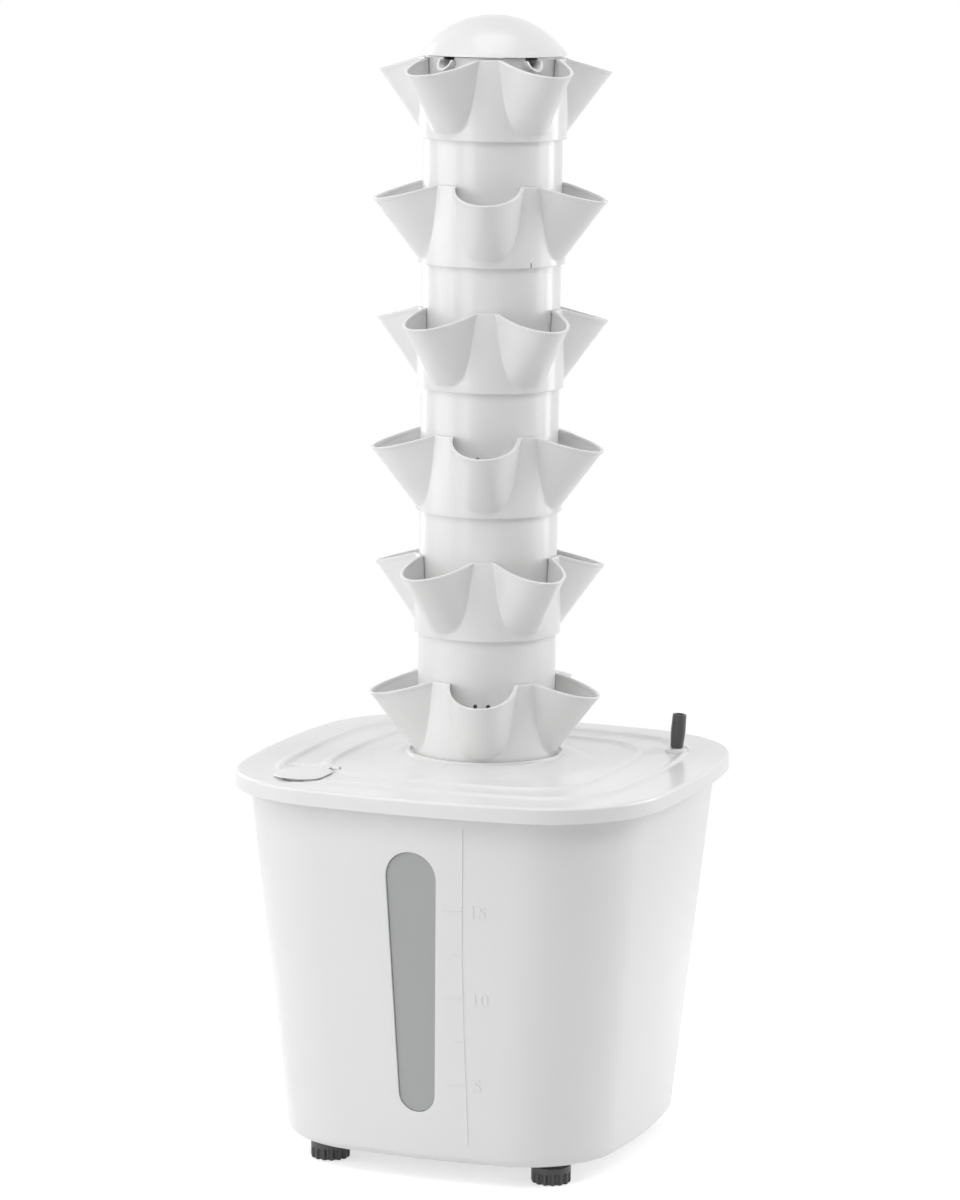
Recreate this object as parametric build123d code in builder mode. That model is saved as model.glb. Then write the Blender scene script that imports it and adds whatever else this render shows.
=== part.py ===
from build123d import *
import os
from math import atan2, cos, hypot, radians, sin, sqrt

os.makedirs("parts", exist_ok=True)

# Hydroponic tower, in millimetres. The tower's axis is Z, the floor is Z = 0 and the tank's window faces -Y.

# Driving dimensions of the tank, a tapered rounded square with bowed sides
foot_height = 19.0
tank_height = 294.0
tank_foot_half = 141.6
tank_mouth_half = 171.4
tank_foot_corner = 80.0
tank_mouth_corner = 88.0
tank_side_radius = 580.0
tank_wall = 3.0
tank_floor = 3.0
tank_heel_round = 7.0
tank_rim_width = 4.0
tank_rim_depth = 4.0

# Level window in the front of the tank, a slot that narrows downwards
window_top_radius = 20.8
window_foot_radius = 15.0
window_top_height = 251.0
window_foot_height = 74.5
window_recess = 1.6
window_flange = 6.0
window_pane = 2.5
seal_thickness = 1.0
window_clearance = 0.3

# Levelling feet
foot_setback = 47.6
knob_radius = 15.7
knob_height = 14.5
knob_rim_height = 5.0
scallop_count = 14
scallop_radius = 2.2
stud_radius = 4.0
stud_reach = 20.0
stud_sink = 6.0
boss_wall = 4.5
thread_clearance = 0.3
knob_fit = 0.05
boss_roof = 3.0

# Lid
lid_overhang = 5.4
lid_corner_gain = 7.5
lid_side_radius = 747.0
lid_plate = 3.0
lid_rim_height = 12.8
lid_edge_round = 3.5
lid_wall = 2.6
gasket_depth = 10.0
gasket_wall = 2.2
gasket_clearance = 0.6
ripple_width = 11.0
ripple_height = 1.8
outer_ripple_inset = 30.8
outer_ripple_corner = 70.0
middle_ripple_inset = 62.8
middle_ripple_corner = 62.0

# Tower collar in the middle of the lid
collar_base_radius = 93.0
collar_top_radius = 66.0
collar_bore_radius = 61.0
tower_seat = 5.6
collar_lip = 2.4
spigot_height = 14.0
spigot_wall = 2.6
riser_guide_seat = 3.0
riser_guide_spokes = 5
riser_guide_spoke_width = 6.0
riser_guide_wall = 3.0
riser_guide_height = 10.0
riser_guide_fit = 0.2

# Fill flap over the hole in the front left corner of the lid
flap_width = 41.0
flap_length = 48.0
flap_corner = 15.0
flap_setback_x = 72.3
flap_setback_y = 59.8
flap_thickness = 2.6
flap_lip = 4.5
flap_seal_depth = 4.0
flap_seal_wall = 2.0
flap_clearance = 0.8
hinge_pin_radius = 1.3
hinge_barrel_radius = 2.5
hinge_lug_width = 7.0
hinge_gap = 0.4
hinge_setback = 3.0
hinge_height = 1.6
pin_clearance = 0.05
pad_margin = 3.0
finger_scoop_width = 22.0
finger_scoop_length = 9.0
finger_scoop_depth = 1.6

# Float indicator in the back right corner
float_setback_x = 9.6
float_setback_y = 53.1
float_lean = 4.0
float_lean_heading = 20.0
bush_flange_radius = 8.8
bush_flange_height = 3.2
bush_radius = 6.8
bush_depth = 9.0
bush_clearance = 0.2
stub_foot_radius = 5.2
stub_waist_radius = 6.0
stub_top_radius = 5.6
stub_height = 27.5
stub_mouth_radius = 3.6
stub_mouth_depth = 8.0
stem_radius = 2.5
stem_length = 245.0
stem_socket_depth = 9.0
stem_clearance = 0.5
float_radius = 14.0
float_length = 40.0

# Tower of planting rings and drip tubes
tier_count = 6
pocket_count = 5
tier_pitch = 98.4
tower_turn = 16.5
tube_radius = 55.0
tube_wall = 2.5
socket_clearance = 0.4
ring_wall = 2.9
ring_height = 63.5
pocket_reach = 96.0
pocket_rim_drop = 12.0
pocket_foot_height = 3.0
pocket_foot_radius = 21.0
pocket_top_half_width = 25.3
pocket_top_depth = 43.5
pocket_wall = 2.0
pocket_blend = 1.2
rib_low = 18.0
rib_high = 38.0
rib_depth = 3.6
rib_width = 10.0
tray_height = 3.5
tray_thickness = 2.0
chimney_wall = 2.0
chimney_height = 14.0
drip_hole_radius = 1.7
drip_hole_height = 8.8
drip_hole_spread = 10.8
seat_gap = 0.2

# Riser pipe and pump
riser_radius = 10.0
riser_wall = 2.3
riser_clearance = 0.4
riser_spigot_length = 15.0
riser_fit = 0.1
pump_length = 60.0
pump_depth = 48.0
pump_height = 46.0
pump_round = 6.0
pump_cover_depth = 8.0
impeller_radius = 15.0
impeller_depth = 10.0
impeller_gap = 1.5
blade_count = 6
blade_thickness = 2.0
impeller_hub_radius = 4.5
shaft_radius = 1.5
shaft_clearance = 0.1
shaft_reach = 12.0
cup_height = 8.0
cup_radius = 9.0
cup_neck_radius = 3.5
cup_spacing_x = 38.0
cup_spacing_y = 28.0
grille_slot_count = 7
grille_slot_width = 3.0
grille_slot_length = 30.0
grille_slot_pitch = 6.0
outlet_length = 14.0
outlet_flange_height = 3.0
outlet_wall = 1.8
gland_radius = 7.0
gland_length = 11.0
gland_bore_radius = 3.2

# Water distributor and dome
dish_wall = 2.0
dish_floor_height = 12.0
dish_rim_gap = 1.0
spout_bore_radius = 5.2
spout_wall = 1.8
spout_height = 16.5
spout_start = 44.0
spout_reach = 59.0
spout_cheek = 1.2
hub_depth = 12.0
hub_wall = 2.5
dome_rise = 34.0
dome_wall = 2.4
dome_inset = 0.3
dome_tab_depth = 4.5
dome_tab_wall = 2.0

# Heights and radii that follow from them
tank_mouth_height = foot_height + tank_height
foot_spread = tank_foot_half - foot_setback
lid_top = tank_mouth_height + seat_gap + lid_plate
lid_half = tank_mouth_half + tank_rim_width + lid_overhang
lid_corner = tank_mouth_corner + tank_rim_width + lid_corner_gain
flap_x = flap_setback_x - lid_half
flap_y = flap_setback_y - lid_half
float_x = tank_foot_half - float_setback_x
float_y = tank_foot_half - float_setback_y
ring_radius = tube_radius + socket_clearance + ring_wall
bore_radius = tube_radius + socket_clearance
ledge_height = lid_top + tower_seat
first_ring_height = ledge_height + seat_gap
pocket_angle = 360.0 / pocket_count
rib_inner_radius = bore_radius - rib_depth
chimney_bore_radius = riser_radius + riser_clearance
spigot_radius = bore_radius - socket_clearance
ripple_round = 0.95 * ripple_height


def ring_base(tier):
    """Height of a planting ring's skirt, with tier 1 at the top."""
    return first_ring_height + (tier_count - tier) * tier_pitch


def ring_turn(tier):
    """Heading of a ring's first pocket, with every other ring turned by half a pocket."""
    return tower_turn - 90 + (tier_count - tier) % 2 * pocket_angle / 2


def bowed_square(half, corner, side_radius):
    """Face with four bowed sides and round corners, in the sketch that is being drawn."""
    offset_y = half - side_radius
    corner_centre = (offset_y + sqrt(2 * (side_radius - corner) ** 2 - offset_y**2)) / 2
    heading = atan2(offset_y - corner_centre, corner_centre)
    side_end = Vector(side_radius * cos(heading), side_radius * sin(heading) - offset_y)
    side_start = Vector(-side_end.X, side_end.Y)
    corner_middle = (corner_centre + corner / sqrt(2)) * Vector(1, -1)
    with BuildLine() as rim:
        for quarter in range(4):
            turn = 90 * quarter
            end = side_end.rotate(Axis.Z, turn)
            ThreePointArc(side_start.rotate(Axis.Z, turn), Vector(0, -half).rotate(Axis.Z, turn), end)
            ThreePointArc(
                end,
                corner_middle.rotate(Axis.Z, turn),
                side_start.rotate(Axis.Z, turn + 90),
            )
    make_face(rim.edges())


def tank_section(height, inset):
    """Tank outline at a height above the floor, moved in by inset."""
    share = (height - foot_height) / tank_height
    half = tank_foot_half + share * (tank_mouth_half - tank_foot_half)
    corner = tank_foot_corner + share * (tank_mouth_corner - tank_foot_corner)
    with BuildSketch(Plane.XY.offset(height)) as outline:
        bowed_square(half - inset, corner - inset, tank_side_radius)
    return outline.sketch


def tank_body(inset, bottom, mode=Mode.ADD):
    """Tapered body between bottom and the tank's mouth, moved in by inset."""
    loft([tank_section(bottom, inset), tank_section(tank_mouth_height, inset)], ruled=True, mode=mode)


def window_slot(growth, mode):
    """Slot of the level window, grown by growth, through the front of the part being made."""
    with BuildSketch(Plane.XZ) as slot:
        with Locations((0, window_top_height)):
            Circle(window_top_radius + growth)
        with Locations((0, window_foot_height)):
            Circle(window_foot_radius + growth)
        make_hull()
    extrude(slot.sketch, amount=2 * tank_mouth_half, mode=mode)


# Tank: thin-walled body with a rolled-out rim, bosses for the feet and the window slot
floor_top = foot_height + tank_floor
with BuildPart() as tank_cavity:
    tank_body(tank_wall, floor_top)
    fillet(tank_cavity.edges().group_by(Axis.Z)[0], tank_heel_round - tank_wall)

boss_radius = stud_radius + thread_clearance + boss_wall
stud_top = foot_height + stud_reach
foot_places = GridLocations(2 * foot_spread, 2 * foot_spread, 2, 2).locations

with BuildPart() as tank:
    tank_body(0, foot_height)
    fillet(tank.edges().group_by(Axis.Z)[0], tank_heel_round)
    with BuildSketch(Plane.XY.offset(tank_mouth_height - tank_rim_depth)):
        bowed_square(tank_mouth_half + tank_rim_width, tank_mouth_corner + tank_rim_width, tank_side_radius)
    extrude(amount=tank_rim_depth)
    add(tank_cavity.part, mode=Mode.SUBTRACT)
    with BuildSketch(Plane.XY.offset(foot_height + tank_floor / 2)):
        with Locations(*foot_places):
            Circle(boss_radius)
    extrude(amount=stud_reach + thread_clearance + boss_roof - tank_floor / 2)
    with BuildSketch(Plane.XY.offset(foot_height)):
        with Locations(*foot_places):
            Circle(stud_radius + thread_clearance)
    extrude(amount=stud_reach + thread_clearance, mode=Mode.SUBTRACT)
    window_slot(0, Mode.SUBTRACT)
tank.part.label = "tank"
export_step(tank.part, "parts/tank.step")

# Level window: a pane with a flange behind the wall, and its gasket
seal_face = tank_wall + seat_gap
seal_back = seal_face + seal_thickness
with BuildPart() as window_seal:
    tank_body(seal_face, floor_top)
    tank_body(seal_back, floor_top, Mode.SUBTRACT)
    window_slot(window_flange, Mode.INTERSECT)
    window_slot(0, Mode.SUBTRACT)
window_seal.part.label = "window_seal"
export_step(window_seal.part, "parts/window_seal.step")

with BuildPart() as window_lens:
    tank_body(window_recess, floor_top)
    tank_body(seal_back, floor_top, Mode.SUBTRACT)
    window_slot(-window_clearance, Mode.INTERSECT)

with BuildPart() as level_window:
    tank_body(seal_back, floor_top)
    tank_body(seal_back + window_pane, floor_top, Mode.SUBTRACT)
    window_slot(window_flange, Mode.INTERSECT)
    add(window_lens.part)
level_window.part.label = "level_window"
export_step(level_window.part, "parts/level_window.step")

# Levelling feet: fluted knobs with a smooth upper rim, on threaded studs
for number, place in enumerate(foot_places, start=1):
    with BuildPart() as foot_knob:
        with Locations(place):
            Cylinder(knob_radius, knob_height, align=(Align.CENTER, Align.CENTER, Align.MIN))
        fillet(foot_knob.edges().group_by(Axis.Z)[-1], knob_rim_height / 3)
        with BuildSketch(Plane.XY):
            with Locations(place):
                with PolarLocations(knob_radius, scallop_count):
                    Circle(scallop_radius)
        extrude(amount=knob_height - knob_rim_height, mode=Mode.SUBTRACT)
        with BuildSketch(Plane.XY.offset(stud_sink)):
            with Locations(place):
                Circle(stud_radius + knob_fit)
        extrude(amount=knob_height - stud_sink, mode=Mode.SUBTRACT)
    foot_knob.part.label = f"foot_knob_{number}"
    export_step(foot_knob.part, f"parts/foot_knob_{number}.step")

    with BuildPart() as foot_stud:
        with BuildSketch(Plane.XY.offset(stud_sink)):
            with Locations(place):
                Circle(stud_radius)
        extrude(amount=stud_top - stud_sink)
        chamfer(foot_stud.edges().group_by(Axis.Z)[-1], stud_radius / 4)
    foot_stud.part.label = f"foot_stud_{number}"
    export_step(foot_stud.part, f"parts/foot_stud_{number}.step")

# Lid: plate with a turned-down rim, ripples, the tower's collar, a fill hole and a hole for the float bush
plate_bottom = lid_top - lid_plate
collar_top = ledge_height + collar_lip
spigot_bore_radius = spigot_radius - spigot_wall
flap_back = flap_y + flap_length / 2
flap_front = flap_y - flap_length / 2
hinge_y = flap_back + hinge_setback
hinge_z = lid_top + hinge_height
lug_offset = (flap_width - hinge_lug_width) / 2
knuckle_length = flap_width - 2 * hinge_lug_width - 2 * hinge_gap


def ripple(half, corner):
    """Low rounded ridge that follows the lid's outline."""
    with BuildPart() as ridge:
        with BuildSketch(Plane.XY.offset(lid_top - lid_plate / 2)):
            bowed_square(half, corner, lid_side_radius)
            offset(amount=-ripple_width, mode=Mode.SUBTRACT)
        extrude(amount=lid_plate / 2 + ripple_height)
        fillet(ridge.edges().group_by(Axis.Z)[-1], ripple_round)
    return ridge.part


def flap_outline(inset, mode=Mode.ADD):
    """Rounded outline of the fill flap, moved in by inset, in the sketch that is being drawn."""
    with Locations((flap_x, flap_y)):
        RectangleRounded(flap_width - 2 * inset, flap_length - 2 * inset, flap_corner - inset, mode=mode)


def hinge_barrel(radius, length, offset_x, mode=Mode.ADD):
    """Round bar on the flap's hinge line, centred offset_x to one side of the flap's middle."""
    with BuildSketch(Plane.YZ.offset(flap_x + offset_x - length / 2)) as end:
        with Locations((hinge_y, hinge_z)):
            Circle(radius)
    extrude(end.sketch, amount=length, mode=mode)


with BuildPart() as lid:
    with BuildSketch(Plane.XY.offset(lid_top - lid_rim_height)):
        bowed_square(lid_half, lid_corner, lid_side_radius)
    extrude(amount=lid_rim_height)
    fillet(lid.edges().group_by(Axis.Z)[-1], lid_edge_round)
    with BuildSketch(Plane.XY.offset(lid_top - lid_rim_height)):
        bowed_square(lid_half - lid_wall, lid_corner - lid_wall, lid_side_radius)
    extrude(amount=lid_rim_height - lid_plate, mode=Mode.SUBTRACT)
    add(ripple(lid_half - outer_ripple_inset, outer_ripple_corner))
    add(ripple(lid_half - middle_ripple_inset, middle_ripple_corner))
    # Level pad round the flap, which breaks the ripples
    with BuildSketch(Plane.XY.offset(lid_top)):
        flap_outline(-pad_margin)
    extrude(amount=ripple_height, mode=Mode.SUBTRACT)
    # Collar, ledge and spigot for the lowest ring
    with BuildSketch(Plane.XY.offset(plate_bottom)):
        Circle(collar_base_radius)
    extrude(amount=lid_plate + ripple_height, mode=Mode.SUBTRACT)
    with BuildSketch(Plane.XZ):
        with BuildLine():
            middle = ((collar_base_radius + collar_top_radius) / 2, (lid_top + collar_top) / 2)
            foot = (collar_base_radius, lid_top)
            brow = (collar_top_radius, collar_top)
            TangentArc(foot, middle, tangent=(-1, 0))
            TangentArc(brow, middle, tangent=(1, 0))
            Polyline(
                brow,
                (collar_bore_radius, collar_top),
                (collar_bore_radius, ledge_height),
                (spigot_radius, ledge_height),
                (spigot_radius, ledge_height + spigot_height),
                (spigot_bore_radius, ledge_height + spigot_height),
                (spigot_bore_radius, ledge_height),
                (spigot_bore_radius - riser_guide_seat, ledge_height),
                (spigot_bore_radius - riser_guide_seat, ledge_height - lid_plate),
                (collar_top_radius, ledge_height - lid_plate),
                (collar_base_radius, plate_bottom),
                foot,
            )
        make_face()
    revolve(axis=Axis.Z)
    # Fill hole, hinge lugs and finger scoop of the flap
    with BuildSketch(Plane.XY.offset(plate_bottom)):
        flap_outline(flap_lip)
    extrude(amount=lid_plate, mode=Mode.SUBTRACT)
    hinge_barrel(hinge_barrel_radius + hinge_gap, knuckle_length + 2 * hinge_gap, 0, Mode.SUBTRACT)
    for side in (-1, 1):
        hinge_barrel(hinge_barrel_radius, hinge_lug_width, side * lug_offset)
        hinge_barrel(hinge_pin_radius + pin_clearance, hinge_lug_width, side * lug_offset, Mode.SUBTRACT)
    with BuildSketch(Plane.XY.offset(lid_top)):
        with Locations((flap_x, flap_front)):
            SlotOverall(finger_scoop_width, finger_scoop_length)
    extrude(amount=-finger_scoop_depth, mode=Mode.SUBTRACT)
    # Hole for the float bush
    with BuildSketch(Plane.XY.offset(lid_top)):
        with Locations((float_x, float_y)):
            Circle(bush_radius + bush_clearance)
    extrude(amount=-lid_plate, mode=Mode.SUBTRACT)
    # Level seat for the bush's flange, which breaks the outer ripple
    with BuildSketch(Plane.XY.offset(lid_top)):
        with Locations((float_x, float_y)):
            Circle(bush_flange_radius + bush_clearance)
    extrude(amount=ripple_height, mode=Mode.SUBTRACT)
lid.part.label = "lid"
export_step(lid.part, "parts/lid.step")

# Gasket: soft ring under the lid that locates it in the tank's tapered mouth
gasket_half = tank_mouth_half - tank_wall - gasket_clearance
gasket_corner = tank_mouth_corner - tank_wall - gasket_clearance
gasket_taper = (tank_mouth_half - tank_foot_half) / tank_height * gasket_depth
with BuildPart() as lid_gasket:
    with BuildSketch(Plane.XY.offset(plate_bottom - gasket_depth)):
        bowed_square(gasket_half - gasket_taper, gasket_corner, tank_side_radius)
        offset(amount=-gasket_wall, mode=Mode.SUBTRACT)
    extrude(amount=gasket_depth)
lid_gasket.part.label = "lid_gasket"
export_step(lid_gasket.part, "parts/lid_gasket.step")

# Riser guide: spoked wheel that drops into the spigot and holds the riser upright over the drain
guide_rim_radius = spigot_bore_radius - riser_guide_fit
with BuildPart() as riser_guide:
    with BuildSketch(Plane.XY.offset(ledge_height + seat_gap)):
        Circle(guide_rim_radius)
        Circle(guide_rim_radius - riser_guide_wall, mode=Mode.SUBTRACT)
        with PolarLocations(0, riser_guide_spokes):
            Rectangle(
                guide_rim_radius - riser_guide_wall / 2,
                riser_guide_spoke_width,
                align=(Align.MIN, Align.CENTER),
            )
        Circle(chimney_bore_radius + riser_guide_wall)
        Circle(chimney_bore_radius, mode=Mode.SUBTRACT)
    extrude(amount=riser_guide_height)
riser_guide.part.label = "riser_guide"
export_step(riser_guide.part, "parts/riser_guide.step")

# Fill flap: plate with a knuckle on the hinge pin, and a soft seal that drops into the hole
flap_base = lid_top + seat_gap
with BuildPart() as fill_flap:
    with BuildSketch(Plane.XY.offset(flap_base)):
        flap_outline(0)
    extrude(amount=flap_thickness)
    fillet(fill_flap.edges().group_by(Axis.Z)[-1], flap_thickness / 3)
    with BuildSketch(Plane.XY.offset(flap_base)):
        with Locations((flap_x, flap_back - flap_corner)):
            Rectangle(knuckle_length, hinge_setback + flap_corner, align=(Align.CENTER, Align.MIN))
    extrude(amount=hinge_z - flap_base)
    hinge_barrel(hinge_barrel_radius, knuckle_length, 0)
    hinge_barrel(hinge_pin_radius + pin_clearance, knuckle_length, 0, Mode.SUBTRACT)
fill_flap.part.label = "fill_flap"
export_step(fill_flap.part, "parts/fill_flap.step")

with BuildPart() as flap_seal:
    with BuildSketch(Plane.XY.offset(flap_base - flap_seal_depth)):
        flap_outline(flap_lip + flap_clearance)
        flap_outline(flap_lip + flap_clearance + flap_seal_wall, Mode.SUBTRACT)
    extrude(amount=flap_seal_depth)
flap_seal.part.label = "flap_seal"
export_step(flap_seal.part, "parts/flap_seal.step")

with BuildPart() as flap_pin:
    hinge_barrel(hinge_pin_radius, flap_width, 0)
flap_pin.part.label = "flap_pin"
export_step(flap_pin.part, "parts/flap_pin.step")

# Float indicator: an upright bush in the lid, and a stub, stem and float that lean in it
lean_tangent = sin(radians(float_lean)) / cos(radians(float_lean))
bush_bore_radius = stem_radius + stem_clearance + (bush_flange_height + bush_depth) / 2 * lean_tangent
lean_axis = Vector(0, 0, 1).rotate(Axis.Y, float_lean).rotate(Axis.Z, float_lean_heading)
bush_middle = Vector(float_x, float_y, lid_top + (bush_flange_height - bush_depth) / 2)
stub_lift = (bush_flange_height + bush_depth) / 2 + stub_foot_radius * lean_tangent + seat_gap
stub_plane = Plane(bush_middle + stub_lift * lean_axis, z_dir=lean_axis)

with BuildPart() as float_bush:
    with BuildSketch(Plane.XY.offset(lid_top - bush_depth)):
        with Locations((float_x, float_y)):
            Circle(bush_radius)
    extrude(amount=bush_depth)
    with BuildSketch(Plane.XY.offset(lid_top)):
        with Locations((float_x, float_y)):
            Circle(bush_flange_radius)
    extrude(amount=bush_flange_height)
    fillet(float_bush.edges().group_by(Axis.Z)[-1], bush_flange_height / 3)
    with BuildSketch(Plane.XY.offset(lid_top - bush_depth)):
        with Locations((float_x, float_y)):
            Circle(bush_bore_radius)
    extrude(amount=bush_depth + bush_flange_height, mode=Mode.SUBTRACT)
float_bush.part.label = "float_bush"
export_step(float_bush.part, "parts/float_bush.step")

with BuildPart() as float_cap:
    with BuildSketch(stub_plane):
        Circle(stub_foot_radius)
    with BuildSketch(stub_plane.offset(stub_height / 2)):
        Circle(stub_waist_radius)
    with BuildSketch(stub_plane.offset(stub_height)):
        Circle(stub_top_radius)
    loft(ruled=True)
    with BuildSketch(stub_plane.offset(stub_height)):
        Circle(stub_mouth_radius)
    extrude(amount=-stub_mouth_depth, mode=Mode.SUBTRACT)
    with BuildSketch(stub_plane):
        Circle(stem_radius)
    extrude(amount=stem_socket_depth, mode=Mode.SUBTRACT)
float_cap.part.label = "float_cap"
export_step(float_cap.part, "parts/float_cap.step")

stem_foot_plane = stub_plane.offset(stem_socket_depth - stem_length)
with BuildPart() as float_stem:
    with BuildSketch(stem_foot_plane):
        Circle(stem_radius)
    extrude(amount=stem_length)
float_stem.part.label = "float_stem"
export_step(float_stem.part, "parts/float_stem.step")

with BuildPart() as float_body:
    with BuildSketch(stem_foot_plane):
        Circle(float_radius)
    extrude(amount=float_length)
    fillet(float_body.edges(), float_radius / 3)
    with BuildSketch(stem_foot_plane):
        Circle(stem_radius)
    extrude(amount=float_length, mode=Mode.SUBTRACT)
float_body.part.label = "float_body"
export_step(float_body.part, "parts/float_body.step")

# Planting ring: a socket skirt with flared pockets, round at the foot and drawn out to half an
# ellipse at the lip, all cut off on top by one shallow cone
tip_height = ring_height - pocket_rim_drop
pocket_rise = tip_height - pocket_foot_height
flare = (pocket_reach - ring_radius) / pocket_rise
widening = (pocket_top_half_width - pocket_foot_radius) / pocket_rise
deepening = (pocket_top_depth - pocket_foot_radius) / pocket_rise
rim_slope = pocket_rim_drop / (pocket_reach - ring_radius)
loft_top = ring_height + pocket_wall


def pocket_section(height, inset):
    """Level section of a pocket on +X, half an ellipse with straight sides behind, moved in by inset."""
    rise = height - pocket_foot_height
    half_width = pocket_foot_radius + widening * rise - inset
    depth = pocket_foot_radius + deepening * rise - inset
    centre = ring_radius + flare * rise - inset - depth
    with BuildSketch(Plane.XY.offset(height)) as outline:
        with BuildLine():
            Polyline((centre, -half_width), (0, -half_width), (0, half_width), (centre, half_width))
            EllipticalCenterArc((centre, 0), depth, half_width, start_angle=-90, arc_size=180)
        make_face()
    return outline.sketch


def on_skirt(edge):
    """True for the creases where the pockets leave the skirt."""
    points = [edge.position_at(share) for share in (0.1, 0.5, 0.9)]
    near = all(abs(hypot(point.X, point.Y) - ring_radius) < 0.01 for point in points)
    return near and edge.bounding_box().size.Z > pocket_rim_drop / 2


with BuildPart() as pocket_shell:
    loft([pocket_section(0, 0), pocket_section(loft_top, 0)], ruled=True)

with BuildPart() as pocket_hollow:
    loft([pocket_section(0, pocket_wall), pocket_section(loft_top, pocket_wall)], ruled=True)

with BuildPart() as ring_form:
    Cylinder(ring_radius, loft_top, align=(Align.CENTER, Align.CENTER, Align.MIN))
    with PolarLocations(0, pocket_count):
        add(pocket_shell.part)
    fillet(ring_form.edges().filter_by(on_skirt), pocket_blend)
    with BuildSketch(Plane.XZ):
        cone_edge = 2 * pocket_reach
        cone_drop = rim_slope * (cone_edge - ring_radius)
        with BuildLine():
            Polyline(
                (0, ring_height),
                (ring_radius, ring_height),
                (cone_edge, ring_height - cone_drop),
                (cone_edge, 2 * ring_height),
                (0, 2 * ring_height),
                close=True,
            )
        make_face()
    revolve(axis=Axis.Z, mode=Mode.SUBTRACT)
    Cylinder(bore_radius, loft_top, align=(Align.CENTER, Align.CENTER, Align.MIN), mode=Mode.SUBTRACT)
    with PolarLocations(0, pocket_count):
        add(pocket_hollow.part, mode=Mode.SUBTRACT)
    with BuildSketch(Plane.XY.offset(rib_low)):
        with PolarLocations(rib_inner_radius, pocket_count, start_angle=pocket_angle / 2):
            Rectangle(rib_depth + ring_wall / 2, rib_width, align=(Align.MIN, Align.CENTER))
    extrude(amount=rib_high - rib_low)

for tier in range(1, tier_count + 1):
    with BuildPart() as planting_ring:
        with Locations(Location((0, 0, ring_base(tier)), (0, 0, ring_turn(tier)))):
            add(ring_form.part)
    planting_ring.part.label = f"planting_ring_{tier}"
    export_step(planting_ring.part, f"parts/planting_ring_{tier}.step")

# Drip tube: stands on the ribs of the ring below and carries the ring above, with a tray floor inside
tube_length = tier_pitch - (rib_high - rib_low) - 2 * seat_gap
tube_bore_radius = tube_radius - tube_wall
tray_top = tray_height + tray_thickness
chimney_radius = chimney_bore_radius + chimney_wall
chimney_top = tray_height + chimney_height
with BuildPart() as tube_form:
    with BuildSketch(Plane.XZ):
        with BuildLine():
            Polyline(
                (tube_radius, 0),
                (tube_radius, tube_length),
                (tube_bore_radius, tube_length),
                (tube_bore_radius, tray_top),
                (chimney_radius, tray_top),
                (chimney_radius, chimney_top),
                (chimney_bore_radius, chimney_top),
                (chimney_bore_radius, tray_height),
                (tube_bore_radius, tray_height),
                (tube_bore_radius, 0),
                close=True,
            )
        make_face()
    revolve(axis=Axis.Z)
    for side in (-1, 1):
        with Locations((0, 0, drip_hole_height)):
            with PolarLocations(tube_radius, pocket_count, start_angle=side * drip_hole_spread / 2):
                Cylinder(drip_hole_radius, 4 * tube_wall, rotation=(0, 90, 0), mode=Mode.SUBTRACT)

for tier in range(1, tier_count):
    tube_base = ring_base(tier + 1) + rib_high + seat_gap
    with BuildPart() as drip_tube:
        with Locations(Location((0, 0, tube_base), (0, 0, ring_turn(tier + 1)))):
            add(tube_form.part)
    drip_tube.part.label = f"drip_tube_{tier}"
    export_step(drip_tube.part, f"parts/drip_tube_{tier}.step")

# Water distributor: a dish on the ribs of the top ring, with a U-shaped spout over each pocket
dish_base = ring_base(1) + rib_high
dish_radius = bore_radius - socket_clearance
dish_bore_radius = dish_radius - dish_wall
dish_floor_bottom = dish_floor_height - dish_wall
dish_rim_height = ring_height - rib_high - dish_rim_gap
spout_radius = spout_bore_radius + spout_wall
spout_centre = spout_height + spout_radius
hub_radius = riser_radius + riser_clearance / 2
with BuildPart() as dish_form:
    with BuildSketch(Plane.XZ):
        with BuildLine():
            Polyline(
                (dish_radius, 0),
                (dish_radius, dish_rim_height),
                (dish_bore_radius, dish_rim_height),
                (dish_bore_radius, dish_floor_height),
                (riser_radius - riser_wall, dish_floor_height),
                (riser_radius - riser_wall, dish_floor_bottom),
                (hub_radius, dish_floor_bottom),
                (hub_radius, dish_floor_bottom - hub_depth),
                (hub_radius + hub_wall, dish_floor_bottom - hub_depth),
                (hub_radius + hub_wall, dish_floor_bottom),
                (dish_bore_radius, dish_floor_bottom),
                (dish_bore_radius, 0),
                close=True,
            )
        make_face()
    revolve(axis=Axis.Z)
    for radius, mode in ((spout_radius, Mode.ADD), (spout_bore_radius, Mode.SUBTRACT)):
        with BuildSketch(Plane.YZ.offset(spout_start)) as spout:
            with Locations((0, spout_centre)):
                Circle(radius)
                Rectangle(2 * radius, spout_cheek, align=(Align.CENTER, Align.MIN))
            with Locations((0, spout_centre + spout_cheek)):
                Rectangle(2 * radius, radius, align=(Align.CENTER, Align.MIN), mode=Mode.SUBTRACT)
        for pocket in range(pocket_count):
            spout_face = spout.sketch.rotate(Axis.Z, pocket * pocket_angle)
            heading = Vector(1, 0).rotate(Axis.Z, pocket * pocket_angle)
            extrude(spout_face, amount=spout_reach - spout_start, dir=heading, mode=mode)

with BuildPart() as water_distributor:
    with Locations(Location((0, 0, dish_base), (0, 0, ring_turn(1)))):
        add(dish_form.part)
water_distributor.part.label = "water_distributor"
export_step(water_distributor.part, "parts/water_distributor.step")

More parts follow.
